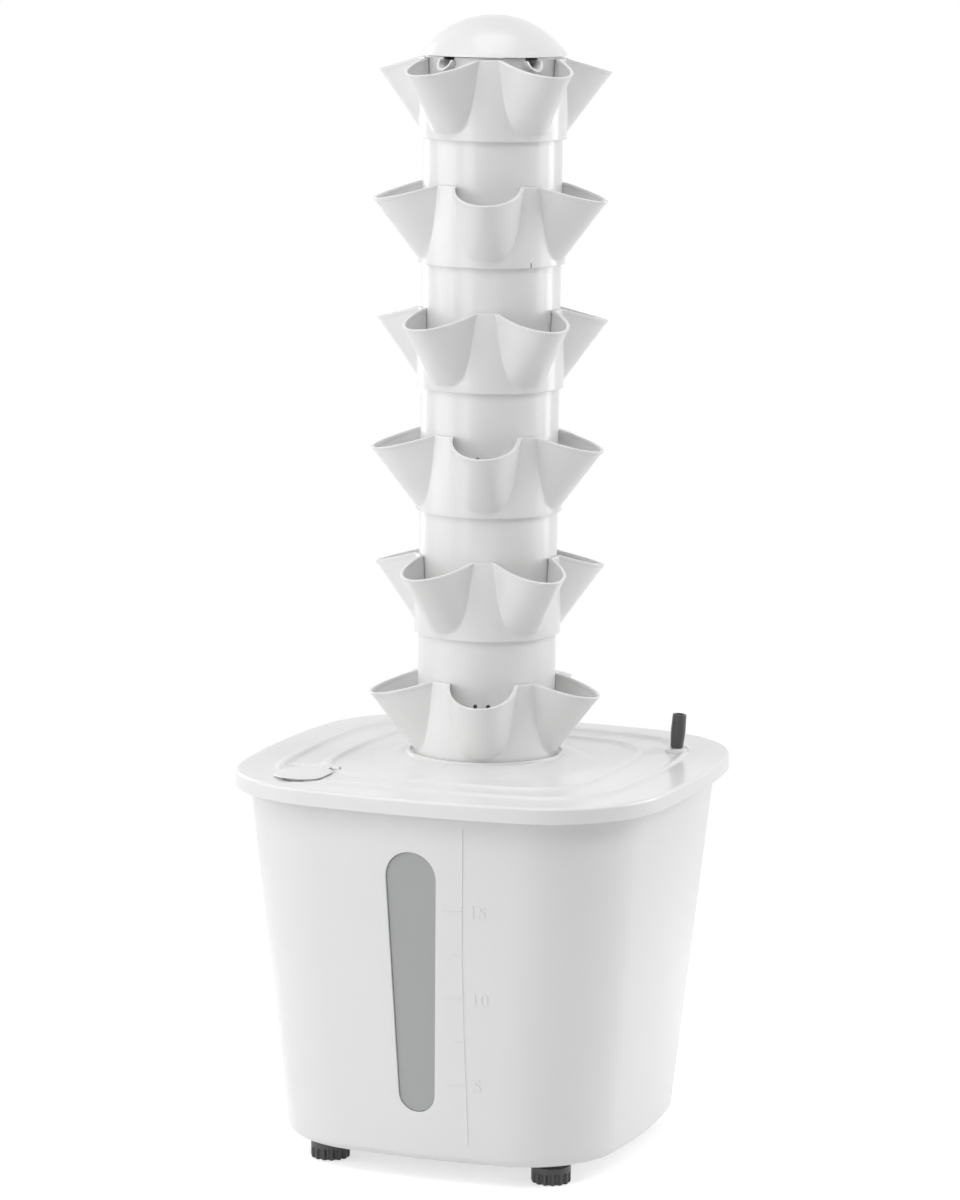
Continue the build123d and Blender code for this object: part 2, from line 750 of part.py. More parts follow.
# Dome cap: shallow cap on the webs of the top ring, with tabs that locate it in the dish
dome_base = ring_base(1) + ring_height + seat_gap
dome_radius = ring_radius - dome_inset
cap_radius = (dome_radius**2 + dome_rise**2) / (2 * dome_rise)
cap_centre = dome_rise - cap_radius
inner_rim = sqrt((cap_radius - dome_wall) ** 2 - cap_centre**2)
tab_radius = dish_bore_radius - socket_clearance
tab_top = sqrt((cap_radius - dome_wall) ** 2 - (tab_radius - dome_tab_wall) ** 2) + cap_centre
with BuildPart() as dome_form:
    with BuildSketch(Plane.XZ):
        with BuildLine():
            RadiusArc((dome_radius, 0), (0, dome_rise), -cap_radius)
            Line((0, dome_rise), (0, dome_rise - dome_wall))
            RadiusArc((0, dome_rise - dome_wall), (inner_rim, 0), cap_radius - dome_wall)
            Line((inner_rim, 0), (dome_radius, 0))
        make_face()
    revolve(axis=Axis.Z)
    with BuildSketch(Plane.XY.offset(-dome_tab_depth)):
        with PolarLocations(tab_radius, pocket_count, start_angle=pocket_angle / 2):
            Rectangle(dome_tab_wall, rib_width, align=(Align.MAX, Align.CENTER))
    extrude(amount=dome_tab_depth + tab_top + dome_wall / 4)

with BuildPart() as dome_cap:
    with Locations(Location((0, 0, dome_base), (0, 0, ring_turn(1)))):
        add(dome_form.part)
dome_cap.part.label = "dome_cap"
export_step(dome_cap.part, "parts/dome_cap.step")

# Pump on the tank floor: suction cups, housing, impeller, slotted cover, outlet and cable gland
pump_base = floor_top + cup_height
pump_top = pump_base + pump_height
pump_face = -pump_depth / 2
chamber_radius = impeller_radius + impeller_gap
chamber_depth = impeller_depth + impeller_gap
shaft_z = pump_base + pump_height / 2

with BuildPart() as suction_cup:
    with BuildSketch(Plane.XZ):
        with BuildLine():
            Polyline(
                (0, 0),
                (cup_radius, 0),
                (cup_neck_radius, cup_height / 2),
                (cup_neck_radius, cup_height),
                (0, cup_height),
                close=True,
            )
        make_face()
    revolve(axis=Axis.Z)

with BuildPart() as suction_cups:
    with Locations((0, 0, floor_top)):
        with GridLocations(cup_spacing_x, cup_spacing_y, 2, 2):
            add(suction_cup.part)
suction_cups.part.label = "suction_cups"
export_step(suction_cups.part, "parts/suction_cups.step")

with BuildPart() as pump_housing:
    with BuildSketch(Plane.XY.offset(pump_base)):
        RectangleRounded(pump_length, pump_depth, pump_round)
    extrude(amount=pump_height)
    fillet(pump_housing.edges().group_by(Axis.Z)[-1], pump_round / 2)
    with BuildSketch(Plane.XZ.offset(-pump_face)):
        with Locations((0, shaft_z)):
            Circle(chamber_radius)
    extrude(amount=-chamber_depth, mode=Mode.SUBTRACT)
    with BuildSketch(Plane.XZ.offset(-pump_face)):
        with Locations((0, shaft_z)):
            Circle(shaft_radius + shaft_clearance)
    extrude(amount=-chamber_depth - shaft_reach, mode=Mode.SUBTRACT)
pump_housing.part.label = "pump_housing"
export_step(pump_housing.part, "parts/pump_housing.step")

with BuildPart() as pump_cover:
    with BuildSketch(Plane.XZ.offset(-pump_face)):
        with Locations((0, shaft_z)):
            RectangleRounded(pump_length - 2 * pump_round, pump_height - pump_round, pump_round)
    extrude(amount=pump_cover_depth)
    fillet(pump_cover.edges().group_by(Axis.Y)[0], pump_cover_depth / 3)
    with BuildSketch(Plane.XZ.offset(-pump_face)):
        with Locations((0, shaft_z)):
            with GridLocations(grille_slot_pitch, 0, grille_slot_count, 1):
                SlotOverall(grille_slot_length, grille_slot_width, rotation=90)
    extrude(amount=pump_cover_depth, mode=Mode.SUBTRACT)
pump_cover.part.label = "pump_cover"
export_step(pump_cover.part, "parts/pump_cover.step")

with BuildPart() as pump_impeller:
    with BuildSketch(Plane.XZ.offset(-pump_face - impeller_gap / 2)):
        with Locations((0, shaft_z)):
            Circle(impeller_hub_radius)
            with PolarLocations(0, blade_count):
                Rectangle(impeller_radius, blade_thickness, align=(Align.MIN, Align.CENTER))
    extrude(amount=-impeller_depth)
    with BuildSketch(Plane.XZ.offset(-pump_face - impeller_gap / 2)):
        with Locations((0, shaft_z)):
            Circle(shaft_radius)
    extrude(amount=-impeller_depth - shaft_reach)
pump_impeller.part.label = "pump_impeller"
export_step(pump_impeller.part, "parts/pump_impeller.step")

riser_bore_radius = riser_radius - riser_wall
nipple_radius = riser_bore_radius - riser_fit
riser_foot = pump_top + outlet_flange_height
with BuildPart() as pump_outlet:
    with BuildSketch(Plane.XY.offset(pump_top)):
        Circle(riser_radius)
    extrude(amount=outlet_flange_height)
    with BuildSketch(Plane.XY.offset(riser_foot)):
        Circle(nipple_radius)
    extrude(amount=outlet_length)
    with BuildSketch(Plane.XY.offset(pump_top)):
        Circle(nipple_radius - outlet_wall)
    extrude(amount=outlet_flange_height + outlet_length, mode=Mode.SUBTRACT)
pump_outlet.part.label = "pump_outlet"
export_step(pump_outlet.part, "parts/pump_outlet.step")

with BuildPart() as cable_gland:
    with BuildSketch(Plane.XZ.offset(pump_face)):
        with Locations((0, shaft_z)):
            Circle(gland_radius)
    extrude(amount=-gland_length)
    fillet(cable_gland.edges().group_by(Axis.Y)[-1], gland_radius / 3)
    with BuildSketch(Plane.XZ.offset(pump_face)):
        with Locations((0, shaft_z)):
            Circle(gland_bore_radius)
    extrude(amount=-gland_length, mode=Mode.SUBTRACT)
cable_gland.part.label = "cable_gland"
export_step(cable_gland.part, "parts/cable_gland.step")

# Riser: plug-together pipe from the pump to the distributor, with a spigot on each joint
riser_names = ("lower", "middle", "upper")
riser_top = dish_base + dish_floor_bottom - seat_gap
riser_length = (riser_top - riser_foot) / len(riser_names)
for number, name in enumerate(riser_names):
    section_foot = riser_foot + number * riser_length
    with BuildPart() as riser:
        with BuildSketch(Plane.XY.offset(section_foot)):
            Circle(riser_radius)
            Circle(riser_bore_radius, mode=Mode.SUBTRACT)
        extrude(amount=riser_length)
        if name != riser_names[-1]:
            with BuildSketch(Plane.XY.offset(section_foot + riser_length - riser_spigot_length)):
                Circle(riser_bore_radius)
                Circle(nipple_radius - outlet_wall, mode=Mode.SUBTRACT)
            extrude(amount=riser_spigot_length)
            with BuildSketch(Plane.XY.offset(section_foot + riser_length)):
                Circle(nipple_radius)
                Circle(nipple_radius - outlet_wall, mode=Mode.SUBTRACT)
            extrude(amount=riser_spigot_length)
    riser.part.label = f"riser_{name}"
    export_step(riser.part, f"parts/riser_{name}.step")
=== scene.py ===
"""Hydroponic tower: its looks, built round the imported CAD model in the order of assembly."""

from functools import lru_cache
from math import asin, atan2, copysign, cos, hypot, pi, radians, sin, sqrt, tau

import bmesh
import bpy
from mathutils import Matrix, Vector


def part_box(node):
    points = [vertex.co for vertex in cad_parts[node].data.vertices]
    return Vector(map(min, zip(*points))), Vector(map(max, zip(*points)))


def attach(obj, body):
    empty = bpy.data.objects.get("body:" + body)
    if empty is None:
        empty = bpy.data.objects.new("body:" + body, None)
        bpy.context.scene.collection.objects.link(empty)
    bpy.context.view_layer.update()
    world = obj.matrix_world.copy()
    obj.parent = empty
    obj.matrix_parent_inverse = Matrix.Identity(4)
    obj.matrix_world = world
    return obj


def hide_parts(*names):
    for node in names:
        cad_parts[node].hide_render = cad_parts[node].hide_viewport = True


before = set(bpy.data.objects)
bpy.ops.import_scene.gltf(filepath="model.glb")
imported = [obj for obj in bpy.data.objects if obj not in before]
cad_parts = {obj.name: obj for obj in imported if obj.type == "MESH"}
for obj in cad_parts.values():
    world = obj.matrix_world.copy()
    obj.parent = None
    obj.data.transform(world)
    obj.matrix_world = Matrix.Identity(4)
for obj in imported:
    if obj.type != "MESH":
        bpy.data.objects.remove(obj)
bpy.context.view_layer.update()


# Tank: the water reservoir, one injection moulding of satin white plastic with bowed sides, a rolled-out
# rim and a slot in front. Every piece is modelled in millimetres in the CAD's frame and scaled at the end.
MM = 0.001
MERGE_DISTANCE = 0.002
SHARP_ANGLE = radians(38)


def skin(bm, rings, count, closed=False):
    """Spins a chain of points round Z, then lets each ring's own function place its points by heading."""
    old = set(bm.verts)
    chain = [bm.verts.new((1, 0, number)) for number in range(len(rings))]
    following = chain[1:] + chain[:1] if closed else chain[1:]
    edges = [bm.edges.new(pair) for pair in zip(chain, following)]
    bmesh.ops.spin(bm, geom=chain + edges, axis=(0, 0, 1), angle=tau, steps=count, use_merge=True)
    fresh = [vert for vert in bm.verts if vert not in old]
    for vert in fresh:
        vert.co = rings[round(vert.co.z)](atan2(vert.co.y, vert.co.x))
    return fresh


def level_ring(radius, height):
    """Level circle round Z. A radius of 0 is a pole."""
    return lambda heading: (radius * cos(heading), radius * sin(heading), height)


def turned(*profile):
    """Level circles round Z for a profile of radii and heights."""
    return [level_ring(radius, height) for radius, height in profile]


def spread(first, last, steps):
    """Numbers from first to last in equal steps, both included."""
    return [first + (last - first) * step / steps for step in range(steps + 1)]


def bowed_reach(heading, half, corner, side):
    """Distance from the axis to a square outline with bowed sides and round corners."""
    turn = abs((heading + pi / 4) % (pi / 2) - pi / 4)
    bow_centre = half - side
    corner_centre = (bow_centre + sqrt(2 * (side - corner) ** 2 - bow_centre**2)) / 2
    span = hypot(corner_centre - bow_centre, corner_centre)
    side_end = atan2(side * corner_centre / span, bow_centre + side * (corner_centre - bow_centre) / span)
    if turn < side_end:
        return bow_centre * cos(turn) + sqrt(side**2 - (bow_centre * sin(turn)) ** 2)
    across = corner_centre * (cos(turn) - sin(turn))
    return corner_centre * (cos(turn) + sin(turn)) + sqrt(corner**2 - across**2)


def open_hole(bm, faces, offset, settle, lead):
    """Takes out the faces nearer than lead to an outline and leads the rest up to it in a new loop."""
    doomed = {face for face in faces if min(offset(vert.co) for vert in face.verts) < lead}
    rim = {edge for face in doomed for edge in face.edges if not doomed.issuperset(edge.link_faces)}
    bmesh.ops.delete(bm, geom=list(doomed), context="FACES")
    grown = bmesh.ops.extrude_edge_only(bm, edges=list(rim))["geom"]
    fresh = {item for item in grown if isinstance(item, bmesh.types.BMVert)}
    for vert in fresh:
        vert.co = settle(vert.co)
    return [item for item in grown if isinstance(item, bmesh.types.BMEdge) and fresh.issuperset(item.verts)]


def make_piece(bm, name, body, material, nodes=(), edge_round=0.0):
    """Closes and rounds a mesh, scales it to metres and shows it in place of its CAD nodes."""
    bmesh.ops.remove_doubles(bm, verts=bm.verts, dist=MERGE_DISTANCE)
    bmesh.ops.recalc_face_normals(bm, faces=bm.faces)
    if edge_round:
        sharp = [edge for edge in bm.edges if edge.is_manifold and edge.calc_face_angle() > SHARP_ANGLE]
        bmesh.ops.bevel(bm, geom=sharp, offset=edge_round, offset_type="OFFSET", segments=3, profile=0.5,
                        affect="EDGES", clamp_overlap=True, material=-1)
    bmesh.ops.scale(bm, vec=(MM, MM, MM), verts=bm.verts)
    mesh = bpy.data.meshes.new(name)
    bm.to_mesh(mesh)
    bm.free()
    mesh.shade_smooth()
    mesh.set_sharp_from_angle(angle=SHARP_ANGLE)
    mesh.materials.append(material)
    piece = bpy.data.objects.new(name, mesh)
    bpy.context.collection.objects.link(piece)
    normals = piece.modifiers.new("face_weighted_normals", "WEIGHTED_NORMAL")
    normals.keep_sharp = True
    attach(piece, body)
    if nodes:
        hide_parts(*nodes)


class Wire:
    """An output of a shader node. Sums of wires and numbers become Math nodes."""

    def __init__(self, socket):
        self.socket = socket

    def sum(self, operation, first, second):
        return add_node(self.socket.id_data, "ShaderNodeMath", {"operation": operation},
                        {0: first, 1: second})

    def __add__(self, other):
        return self.sum("ADD", self, other)

    def __sub__(self, other):
        return self.sum("SUBTRACT", self, other)

    def __mul__(self, other):
        return self.sum("MULTIPLY", self, other)

    __radd__ = __add__
    __rmul__ = __mul__


def add_node(tree, kind, settings, sockets, output=0):
    """Adds a shader node with its settings and the values or wires of its sockets, and returns an output."""
    node = tree.nodes.new(kind)
    for setting, value in settings.items():
        setattr(node, setting, value)
    for socket, value in sockets.items():
        if isinstance(value, Wire):
            tree.links.new(value.socket, node.inputs[socket])
        else:
            node.inputs[socket].default_value = value
    return Wire(node.outputs[output])


def plastic(name, colour, tint, roughness, grain_scale, grain_depth, coat=0.0):
    """Moulded plastic: faintly cloudy in colour and gloss, with the fine grain of the mould's surface."""
    cloud_scale, cloud_gloss, grain_gloss = 9.0, 0.08, 0.06
    grain_strength, coat_roughness = 0.25, 0.1
    material = bpy.data.materials.new(name)
    material.use_nodes = True
    tree = material.node_tree
    shader = tree.nodes["Principled BSDF"]
    place = add_node(tree, "ShaderNodeTexCoord", {}, {}, "Object")
    cloud = add_node(tree, "ShaderNodeTexNoise", {}, {"Vector": place, "Scale": cloud_scale, "Detail": 3.0})
    grain = add_node(tree, "ShaderNodeTexNoise", {}, {"Vector": place, "Scale": grain_scale, "Detail": 2.0})
    shade = add_node(tree, "ShaderNodeMix", {"data_type": "RGBA"},
                     {"Factor": cloud, "A": (*colour, 1.0), "B": (*tint, 1.0)}, "Result")
    gloss = roughness + cloud_gloss * (cloud - 0.5) + grain_gloss * (grain - 0.5)
    bump = add_node(tree, "ShaderNodeBump", {},
                    {"Strength": grain_strength, "Distance": grain_depth, "Height": grain})
    tree.links.new(shade.socket, shader.inputs["Base Color"])
    tree.links.new(gloss.socket, shader.inputs["Roughness"])
    tree.links.new(bump.socket, shader.inputs["Normal"])
    shader.inputs["Coat Weight"].default_value = coat
    shader.inputs["Coat Roughness"].default_value = coat_roughness
    return material


def node_box(node):
    """Low and high corner of a CAD node's box, in millimetres."""
    return [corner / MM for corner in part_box(node)]


white_plastic = plastic("satin_white_plastic", (0.82, 0.82, 0.815), (0.78, 0.78, 0.78), 0.34, 1400.0, 0.0001,
                        coat=0.35)

tank_low, tank_high = node_box("tank")
tank_rim_width, tank_rim_depth = 4.0, 4.0
tank_foot_half, tank_mouth_half = 141.6, tank_high.x - tank_rim_width
tank_foot_corner, tank_mouth_corner = 80.0, 88.0
tank_side = 580.0
tank_wall, tank_floor = 3.0, 3.0
tank_heel, round_steps = 7.0, 6
tank_columns, tank_rows = 224, 44
boss_radius, boss_top, boss_sink, boss_columns = 8.8, 42.3, 1.0, 32
foot_offset = 94.0


def tank_share(height):
    """How far up the tank a height is, from 0 at its foot to 1 at its mouth."""
    return (height - tank_low.z) / (tank_high.z - tank_low.z)


def tank_half(height, inset):
    """Half the tank's width at a height, moved in by inset."""
    return tank_foot_half + tank_share(height) * (tank_mouth_half - tank_foot_half) - inset


def tank_ring(inset, height):
    """Outline of the tank at a height, moved in by inset."""
    half = tank_half(height, inset)
    corner = tank_foot_corner + tank_share(height) * (tank_mouth_corner - tank_foot_corner) - inset

    def place(heading):
        reach = bowed_reach(heading, half, corner, tank_side)
        return (reach * cos(heading), reach * sin(heading), height)

    return place


def tank_front(x, height, inset):
    """Point of the tank's front wall, moved in by inset."""
    return Vector((x, tank_side - tank_half(height, inset) - sqrt(tank_side**2 - x**2), height))


slot_top_radius, slot_foot_radius = 20.8, 15.0
slot_top, slot_foot = 251.0, 74.5
slot_tilt = asin((slot_top_radius - slot_foot_radius) / (slot_top - slot_foot))
slot_lead, front_facing = 2.0, 0.8


def slot_nearest(x, height):
    """Distance from the window slot's outline and the direction away from it, in the front view."""
    side, up = abs(x), height - slot_foot
    along = up * cos(slot_tilt) + side * sin(slot_tilt)
    if along < 0:
        away = Vector((side, up))
        distance = away.length - slot_foot_radius
    elif along > (slot_top - slot_foot) * cos(slot_tilt):
        away = Vector((side, up - slot_top + slot_foot))
        distance = away.length - slot_top_radius
    else:
        away = Vector((cos(slot_tilt), -sin(slot_tilt)))
        distance = side * away.x + up * away.y - slot_foot_radius
    away.normalize()
    return distance, Vector((away.x if x >= 0 else -away.x, away.y))


def slot_settle(inset):
    """Function that moves a point of the front wall to the window slot's outline."""

    def settle(point):
        distance, away = slot_nearest(point.x, point.z)
        return tank_front(point.x - distance * away.x, point.z - distance * away.y, inset)

    return settle


def on_front(face, inset):
    """Whether a face lies near the slot on the front wall, moved in by inset."""
    middle = face.calc_center_median()
    return (abs(face.normal.y) > front_facing and middle.y < 0 and abs(middle.x) < 2 * slot_top_radius
            and abs((middle - tank_front(0, middle.z, inset)).y) < tank_wall / 2)


def heel(inset, radius, bottom):
    """Quarter round between the floor and the wall."""
    return [tank_ring(inset + radius * (1 - sin(turn)), bottom + radius * (1 - cos(turn)))
            for turn in spread(0, pi / 2, round_steps)]


shoulder = tank_high.z - tank_rim_depth
floor_top = tank_low.z + tank_floor
inner_heel = tank_heel - tank_wall
outer_heights = spread(tank_low.z + tank_heel, shoulder, tank_rows)[1:]
inner_heights = spread(shoulder, floor_top + inner_heel, tank_rows)[:-1]
tank_rings = [level_ring(0, tank_low.z), *heel(0, tank_heel, tank_low.z)]
tank_rings += [tank_ring(0, height) for height in outer_heights]
tank_rings += [tank_ring(-tank_rim_width, shoulder), tank_ring(-tank_rim_width, tank_high.z)]
tank_rings += [tank_ring(tank_wall, tank_high.z)]
tank_rings += [tank_ring(tank_wall, height) for height in inner_heights]
tank_rings += [*reversed(heel(tank_wall, inner_heel, floor_top)), level_ring(0, floor_top)]

bm = bmesh.new()
skin(bm, tank_rings, tank_columns)
slot_loops = []
for inset in (0.0, tank_wall):
    front = [face for face in bm.faces if on_front(face, inset)]
    slot_loops += open_hole(bm, front, lambda point: slot_nearest(point.x, point.z)[0], slot_settle(inset),
                            slot_lead)
bmesh.ops.bridge_loops(bm, edges=slot_loops)
for x in (-foot_offset, foot_offset):
    for y in (-foot_offset, foot_offset):
        boss = skin(bm, turned((boss_radius, floor_top - boss_sink), (boss_radius, boss_top), (0, boss_top)),
                    boss_columns)
        bmesh.ops.translate(bm, vec=(x, y, 0), verts=boss)
make_piece(bm, "tank_shell", "tank", white_plastic, ["tank"], edge_round=0.7)


# Level window: an opaque grey pane set back in the tank's slot, with a flange behind the wall.
# Its flat grey is partly the pane's own smoky tint and partly painted shade for the dim inside of the tank
# that shows through the real pane. It is moulded to the wall's curve and pressed against a gasket from
# inside.
# Flat grey colour: partly the pane's smoky tint, partly painted shade of the tank's dim inside seen through
# it.
window_tint_and_painted_shade = plastic("smoky_tint_and_painted_shade", (0.405, 0.41, 0.41), (0.385, 0.39, 0.39), 0.5, 2400.0,
                         0.00008)
window_flange, window_recess, window_gap, window_border = 6.0, 1.6, 0.3, 4.0
seal_depth, pane_thickness = 1.2, 2.5
seal_back = tank_wall + seal_depth
pane_back = seal_back + pane_thickness
arc_steps, side_steps = 18, 46
slot_columns = 2 * (arc_steps + side_steps)


def slot_point(share, growth):
    """Point of the slot's outline, grown by growth, or of its middle line where growth is None."""
    step = share * slot_columns
    if step <= side_steps:
        part, turn = step / side_steps, -slot_tilt
    elif step <= side_steps + arc_steps:
        part, turn = 1.0, -slot_tilt + (step - side_steps) / arc_steps * (pi + 2 * slot_tilt)
    elif step <= 2 * side_steps + arc_steps:
        part, turn = 1 - (step - side_steps - arc_steps) / side_steps, pi + slot_tilt
    else:
        part = 0.0
        turn = pi + slot_tilt + (step - 2 * side_steps - arc_steps) / arc_steps * (pi - 2 * slot_tilt)
    height = slot_foot + part * (slot_top - slot_foot)
    if growth is None:
        return 0.0, height
    radius = slot_foot_radius + part * (slot_top_radius - slot_foot_radius) + growth
    return radius * cos(turn), height + radius * sin(turn)


def slot_ring(growth, inset):
    """Outline of the slot, grown by growth, on the front wall moved in by inset."""
    return lambda heading: tank_front(*slot_point(heading / tau % 1.0, growth), inset)


pane_profile = [(None, pane_back), (window_flange, pane_back), (window_flange, seal_back),
                (-window_gap, seal_back), (-window_gap, window_recess),
                (-window_gap - window_border, window_recess), (None, window_recess)]
bm = bmesh.new()
skin(bm, [slot_ring(growth, inset) for growth, inset in pane_profile], slot_columns)
make_piece(bm, "window_pane", "tank", window_tint_and_painted_shade, ["level_window"], edge_round=0.4)


def dress(node, material):
    """Gives a CAD node that is shown as it is its own finish."""
    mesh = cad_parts[node].data
    mesh.materials.clear()
    mesh.materials.append(material)


rubber = plastic("soft_black_rubber", (0.018, 0.018, 0.018), (0.026, 0.026, 0.026), 0.72, 900.0, 0.0003)
dress("window_seal", rubber)


# Level scale: a fine raised line, ticks and plain numbers that are moulded into the tank's front,
# beside the window. They are the tank's own white plastic.
ridge_width, ridge_height, ridge_crest = 1.1, 0.55, 0.5
scale_line, line_cuts = [(41.5, 36.0), (40.5, 125.0), (40.5, 190.0), (43.6, 293.0)], 20
long_ticks = {"15": 227.8, "10": 157.0, "5": 85.6}
long_start, long_end, long_cuts = 24.6, 41.0, 4
short_ticks = [192.0, 121.0]
short_start, short_end, short_cuts = 31.8, 40.6, 3
number_x, number_height, number_relief, number_bevel = 46.5, 10.6, 0.5, 0.1
figure_share = 0.72


def wall_bar(bm, start, end, cuts):
    """Slim bar on the front wall between two points of the front view."""
    first = len(bm.verts)
    cube = bmesh.ops.create_cube(bm, size=1.0)["verts"]
    sides = {edge for vert in cube for edge in vert.link_edges}
    runs = [edge for edge in sides if abs(edge.verts[0].co.x - edge.verts[1].co.x) > 0.5]
    bmesh.ops.subdivide_edges(bm, edges=runs, cuts=cuts, use_grid_fill=True)
    start, end = Vector(start), Vector(end)
    across = (end - start).orthogonal().normalized() * ridge_width
    for vert in list(bm.verts)[first:]:
        narrowing = ridge_crest if vert.co.y < 0 else 1.0
        spot = start.lerp(end, vert.co.x + 0.5) + across * vert.co.z * narrowing
        vert.co = tank_front(spot.x, spot.y, 2 * vert.co.y * ridge_height)


bm = bmesh.new()
for start, end in zip(scale_line, scale_line[1:]):
    wall_bar(bm, start, end, line_cuts)
for height in long_ticks.values():
    wall_bar(bm, (long_start, height), (long_end, height), long_cuts)
for height in short_ticks:
    wall_bar(bm, (short_start, height), (short_end, height), short_cuts)
for number, height in long_ticks.items():
    text = bpy.data.curves.new("number", "FONT")
    text.body = number
    text.size = number_height / figure_share
    text.extrude = number_relief
    text.bevel_depth = number_bevel
    figure = bpy.data.objects.new("number", text)
    flat = bpy.data.meshes.new_from_object(figure)
    first = len(bm.verts)
    bm.from_mesh(flat)
    for vert in list(bm.verts)[first:]:
        vert.co = tank_front(number_x + vert.co.x, height - number_height / 2 + vert.co.y, -vert.co.z)
    bpy.data.objects.remove(figure)
    bpy.data.curves.remove(text)
    bpy.data.meshes.remove(flat)
make_piece(bm, "level_scale", "tank", white_plastic)


# Feet: dark grey plastic knobs with flutes to grip and a smooth upper rim, each on a threaded steel stud.
# The studs screw into the bosses on the tank's floor and level it.
grey_plastic = plastic("dark_grey_plastic", (0.060, 0.061, 0.063), (0.070, 0.071, 0.073), 0.42, 1800.0,
                       0.00015)
foot_count = 4
knob_radius, knob_rim, knob_step = 15.7, 5.0, 0.6
knob_heel = {4.0: 0.0, 1.2: 0.2, 0.3: 0.9, 0.0: 2.0}
knob_brow = {0.0: 1.6, 0.5: 0.5, 1.6: 0.0}
flute_count, flute_radius, flute_columns = 14, 2.2, 16
thread_pitch, thread_depth = 1.25, 0.6
stud_tip, stud_chamfer, stud_columns = 2.0, 1.0, 32


def fluted_ring(inset, height):
    """Circle with hollow flutes, moved in by inset."""

    def place(heading):
        turn = (heading + pi / flute_count) % (tau / flute_count) - pi / flute_count
        across = knob_radius * sin(turn)
        reach = knob_radius
        if abs(across) < flute_radius:
            reach = knob_radius * cos(turn) - sqrt(flute_radius**2 - across**2)
        reach = reach - inset
        return (reach * cos(heading), reach * sin(heading), height)

    return place


def steel(name):
    """Turned steel: fine lines across its length in its gloss."""
    dark, light = (0.50, 0.50, 0.51, 1.0), (0.66, 0.66, 0.67, 1.0)
    smoothest, gloss_range, line_scale = 0.22, 0.18, (60.0, 60.0, 4000.0)
    material = bpy.data.materials.new(name)
    material.use_nodes = True
    tree = material.node_tree
    shader = tree.nodes["Principled BSDF"]
    shader.inputs["Metallic"].default_value = 1.0
    place = add_node(tree, "ShaderNodeTexCoord", {}, {}, "Object")
    lines = add_node(tree, "ShaderNodeMapping", {}, {"Vector": place, "Scale": line_scale})
    streak = add_node(tree, "ShaderNodeTexNoise", {}, {"Vector": lines, "Scale": 1.0, "Detail": 2.0})
    shade = add_node(tree, "ShaderNodeMix", {"data_type": "RGBA"},
                     {"Factor": streak, "A": dark, "B": light}, "Result")
    gloss = smoothest + gloss_range * streak
    tree.links.new(shade.socket, shader.inputs["Base Color"])
    tree.links.new(gloss.socket, shader.inputs["Roughness"])
    return material


stainless_steel = steel("stainless_steel")
for number in range(1, foot_count + 1):
    low, high = node_box(f"foot_knob_{number}")
    middle = (low + high) / 2
    waist = high.z - knob_rim
    bm = bmesh.new()
    skin(bm, [level_ring(0, 0), *(fluted_ring(inset, height) for inset, height in knob_heel.items()),
              fluted_ring(0, waist - knob_step), level_ring(knob_radius, waist),
              *(level_ring(knob_radius - inset, high.z - drop) for inset, drop in knob_brow.items()),
              level_ring(0, high.z)], flute_count * flute_columns)
    bmesh.ops.translate(bm, vec=(middle.x, middle.y, 0), verts=bm.verts)
    make_piece(bm, f"knob_{number}", f"knob_{number}", grey_plastic, [f"foot_knob_{number}"])
    low, high = node_box(f"foot_stud_{number}")
    turns = int((high.z - low.z - stud_tip) / thread_pitch)
    stud_radius = (high.x - low.x) / 2
    profile = [(0, low.z)]
    for turn in range(turns):
        profile += [(stud_radius - thread_depth, low.z + turn * thread_pitch),
                    (stud_radius, low.z + (turn + 0.5) * thread_pitch)]
    profile += [(stud_radius - thread_depth, low.z + turns * thread_pitch),
                (stud_radius - stud_chamfer, high.z), (0, high.z)]
    bm = bmesh.new()
    skin(bm, turned(*profile), stud_columns)
    bmesh.ops.translate(bm, vec=(middle.x, middle.y, 0), verts=bm.verts)
    make_piece(bm, f"stud_{number}", f"stud_{number}", stainless_steel, [f"foot_stud_{number}"])


# Pump and riser: a small black submersible pump on suction cups, and the pale plug-together pipe that
# carries its water up to the dish. They stand inside the tank and the tower, so they keep the CAD's form.
black_plastic = plastic("black_plastic", (0.012, 0.012, 0.013), (0.018, 0.018, 0.019), 0.45, 1600.0, 0.0002)
blue_plastic = plastic("blue_plastic", (0.02, 0.06, 0.20), (0.025, 0.07, 0.23), 0.40, 1600.0, 0.0001)
pipe_plastic = plastic("pale_pipe_plastic", (0.62, 0.62, 0.62), (0.57, 0.57, 0.57), 0.35, 700.0, 0.0001)
for node in ("pump_housing", "pump_cover", "pump_outlet", "cable_gland"):
    dress(node, black_plastic)
dress("pump_impeller", blue_plastic)
dress("suction_cups", rubber)
for node in ("riser_lower", "riser_middle", "riser_upper"):
    dress(node, pipe_plastic)


# Lid: a white moulding with a turned-down rim, two low ripples, and a round collar and spigot that carry
# the tower. It drops over the tank's rim; the fill hole and the float's hole are in opposite corners.
lid_high = node_box("lid")[1]
lid_half, lid_corner, lid_side = lid_high.x, 99.5, 747.0
lid_gap, lid_plate, lid_wall, lid_rim, lid_rim_row, lid_round = 0.2, 3.0, 2.6, 12.8, 8.0, 2.4
lid_top = tank_high.z + lid_gap + lid_plate
lid_under = lid_top - lid_plate
lid_columns = 288
ripple_width, ripple_height, ripple_flank, ripple_steps = 11.0, 2.4, 0.3, 10
outer_half, outer_corner = 150.0, 70.0
middle_half, middle_corner = 118.0, 62.0
border_halves, border_taper = (172.0, 166.0, 160.0, 155.0), 0.95
valley_halves = (135.0, 130.0, 125.0, 121.5)
collar_lead = {102.0: 60.0, 98.0: 72.0}
under_halves = {46.0: spread(100.0, 156.0, 7), 66.0: [165.0, 172.0]}
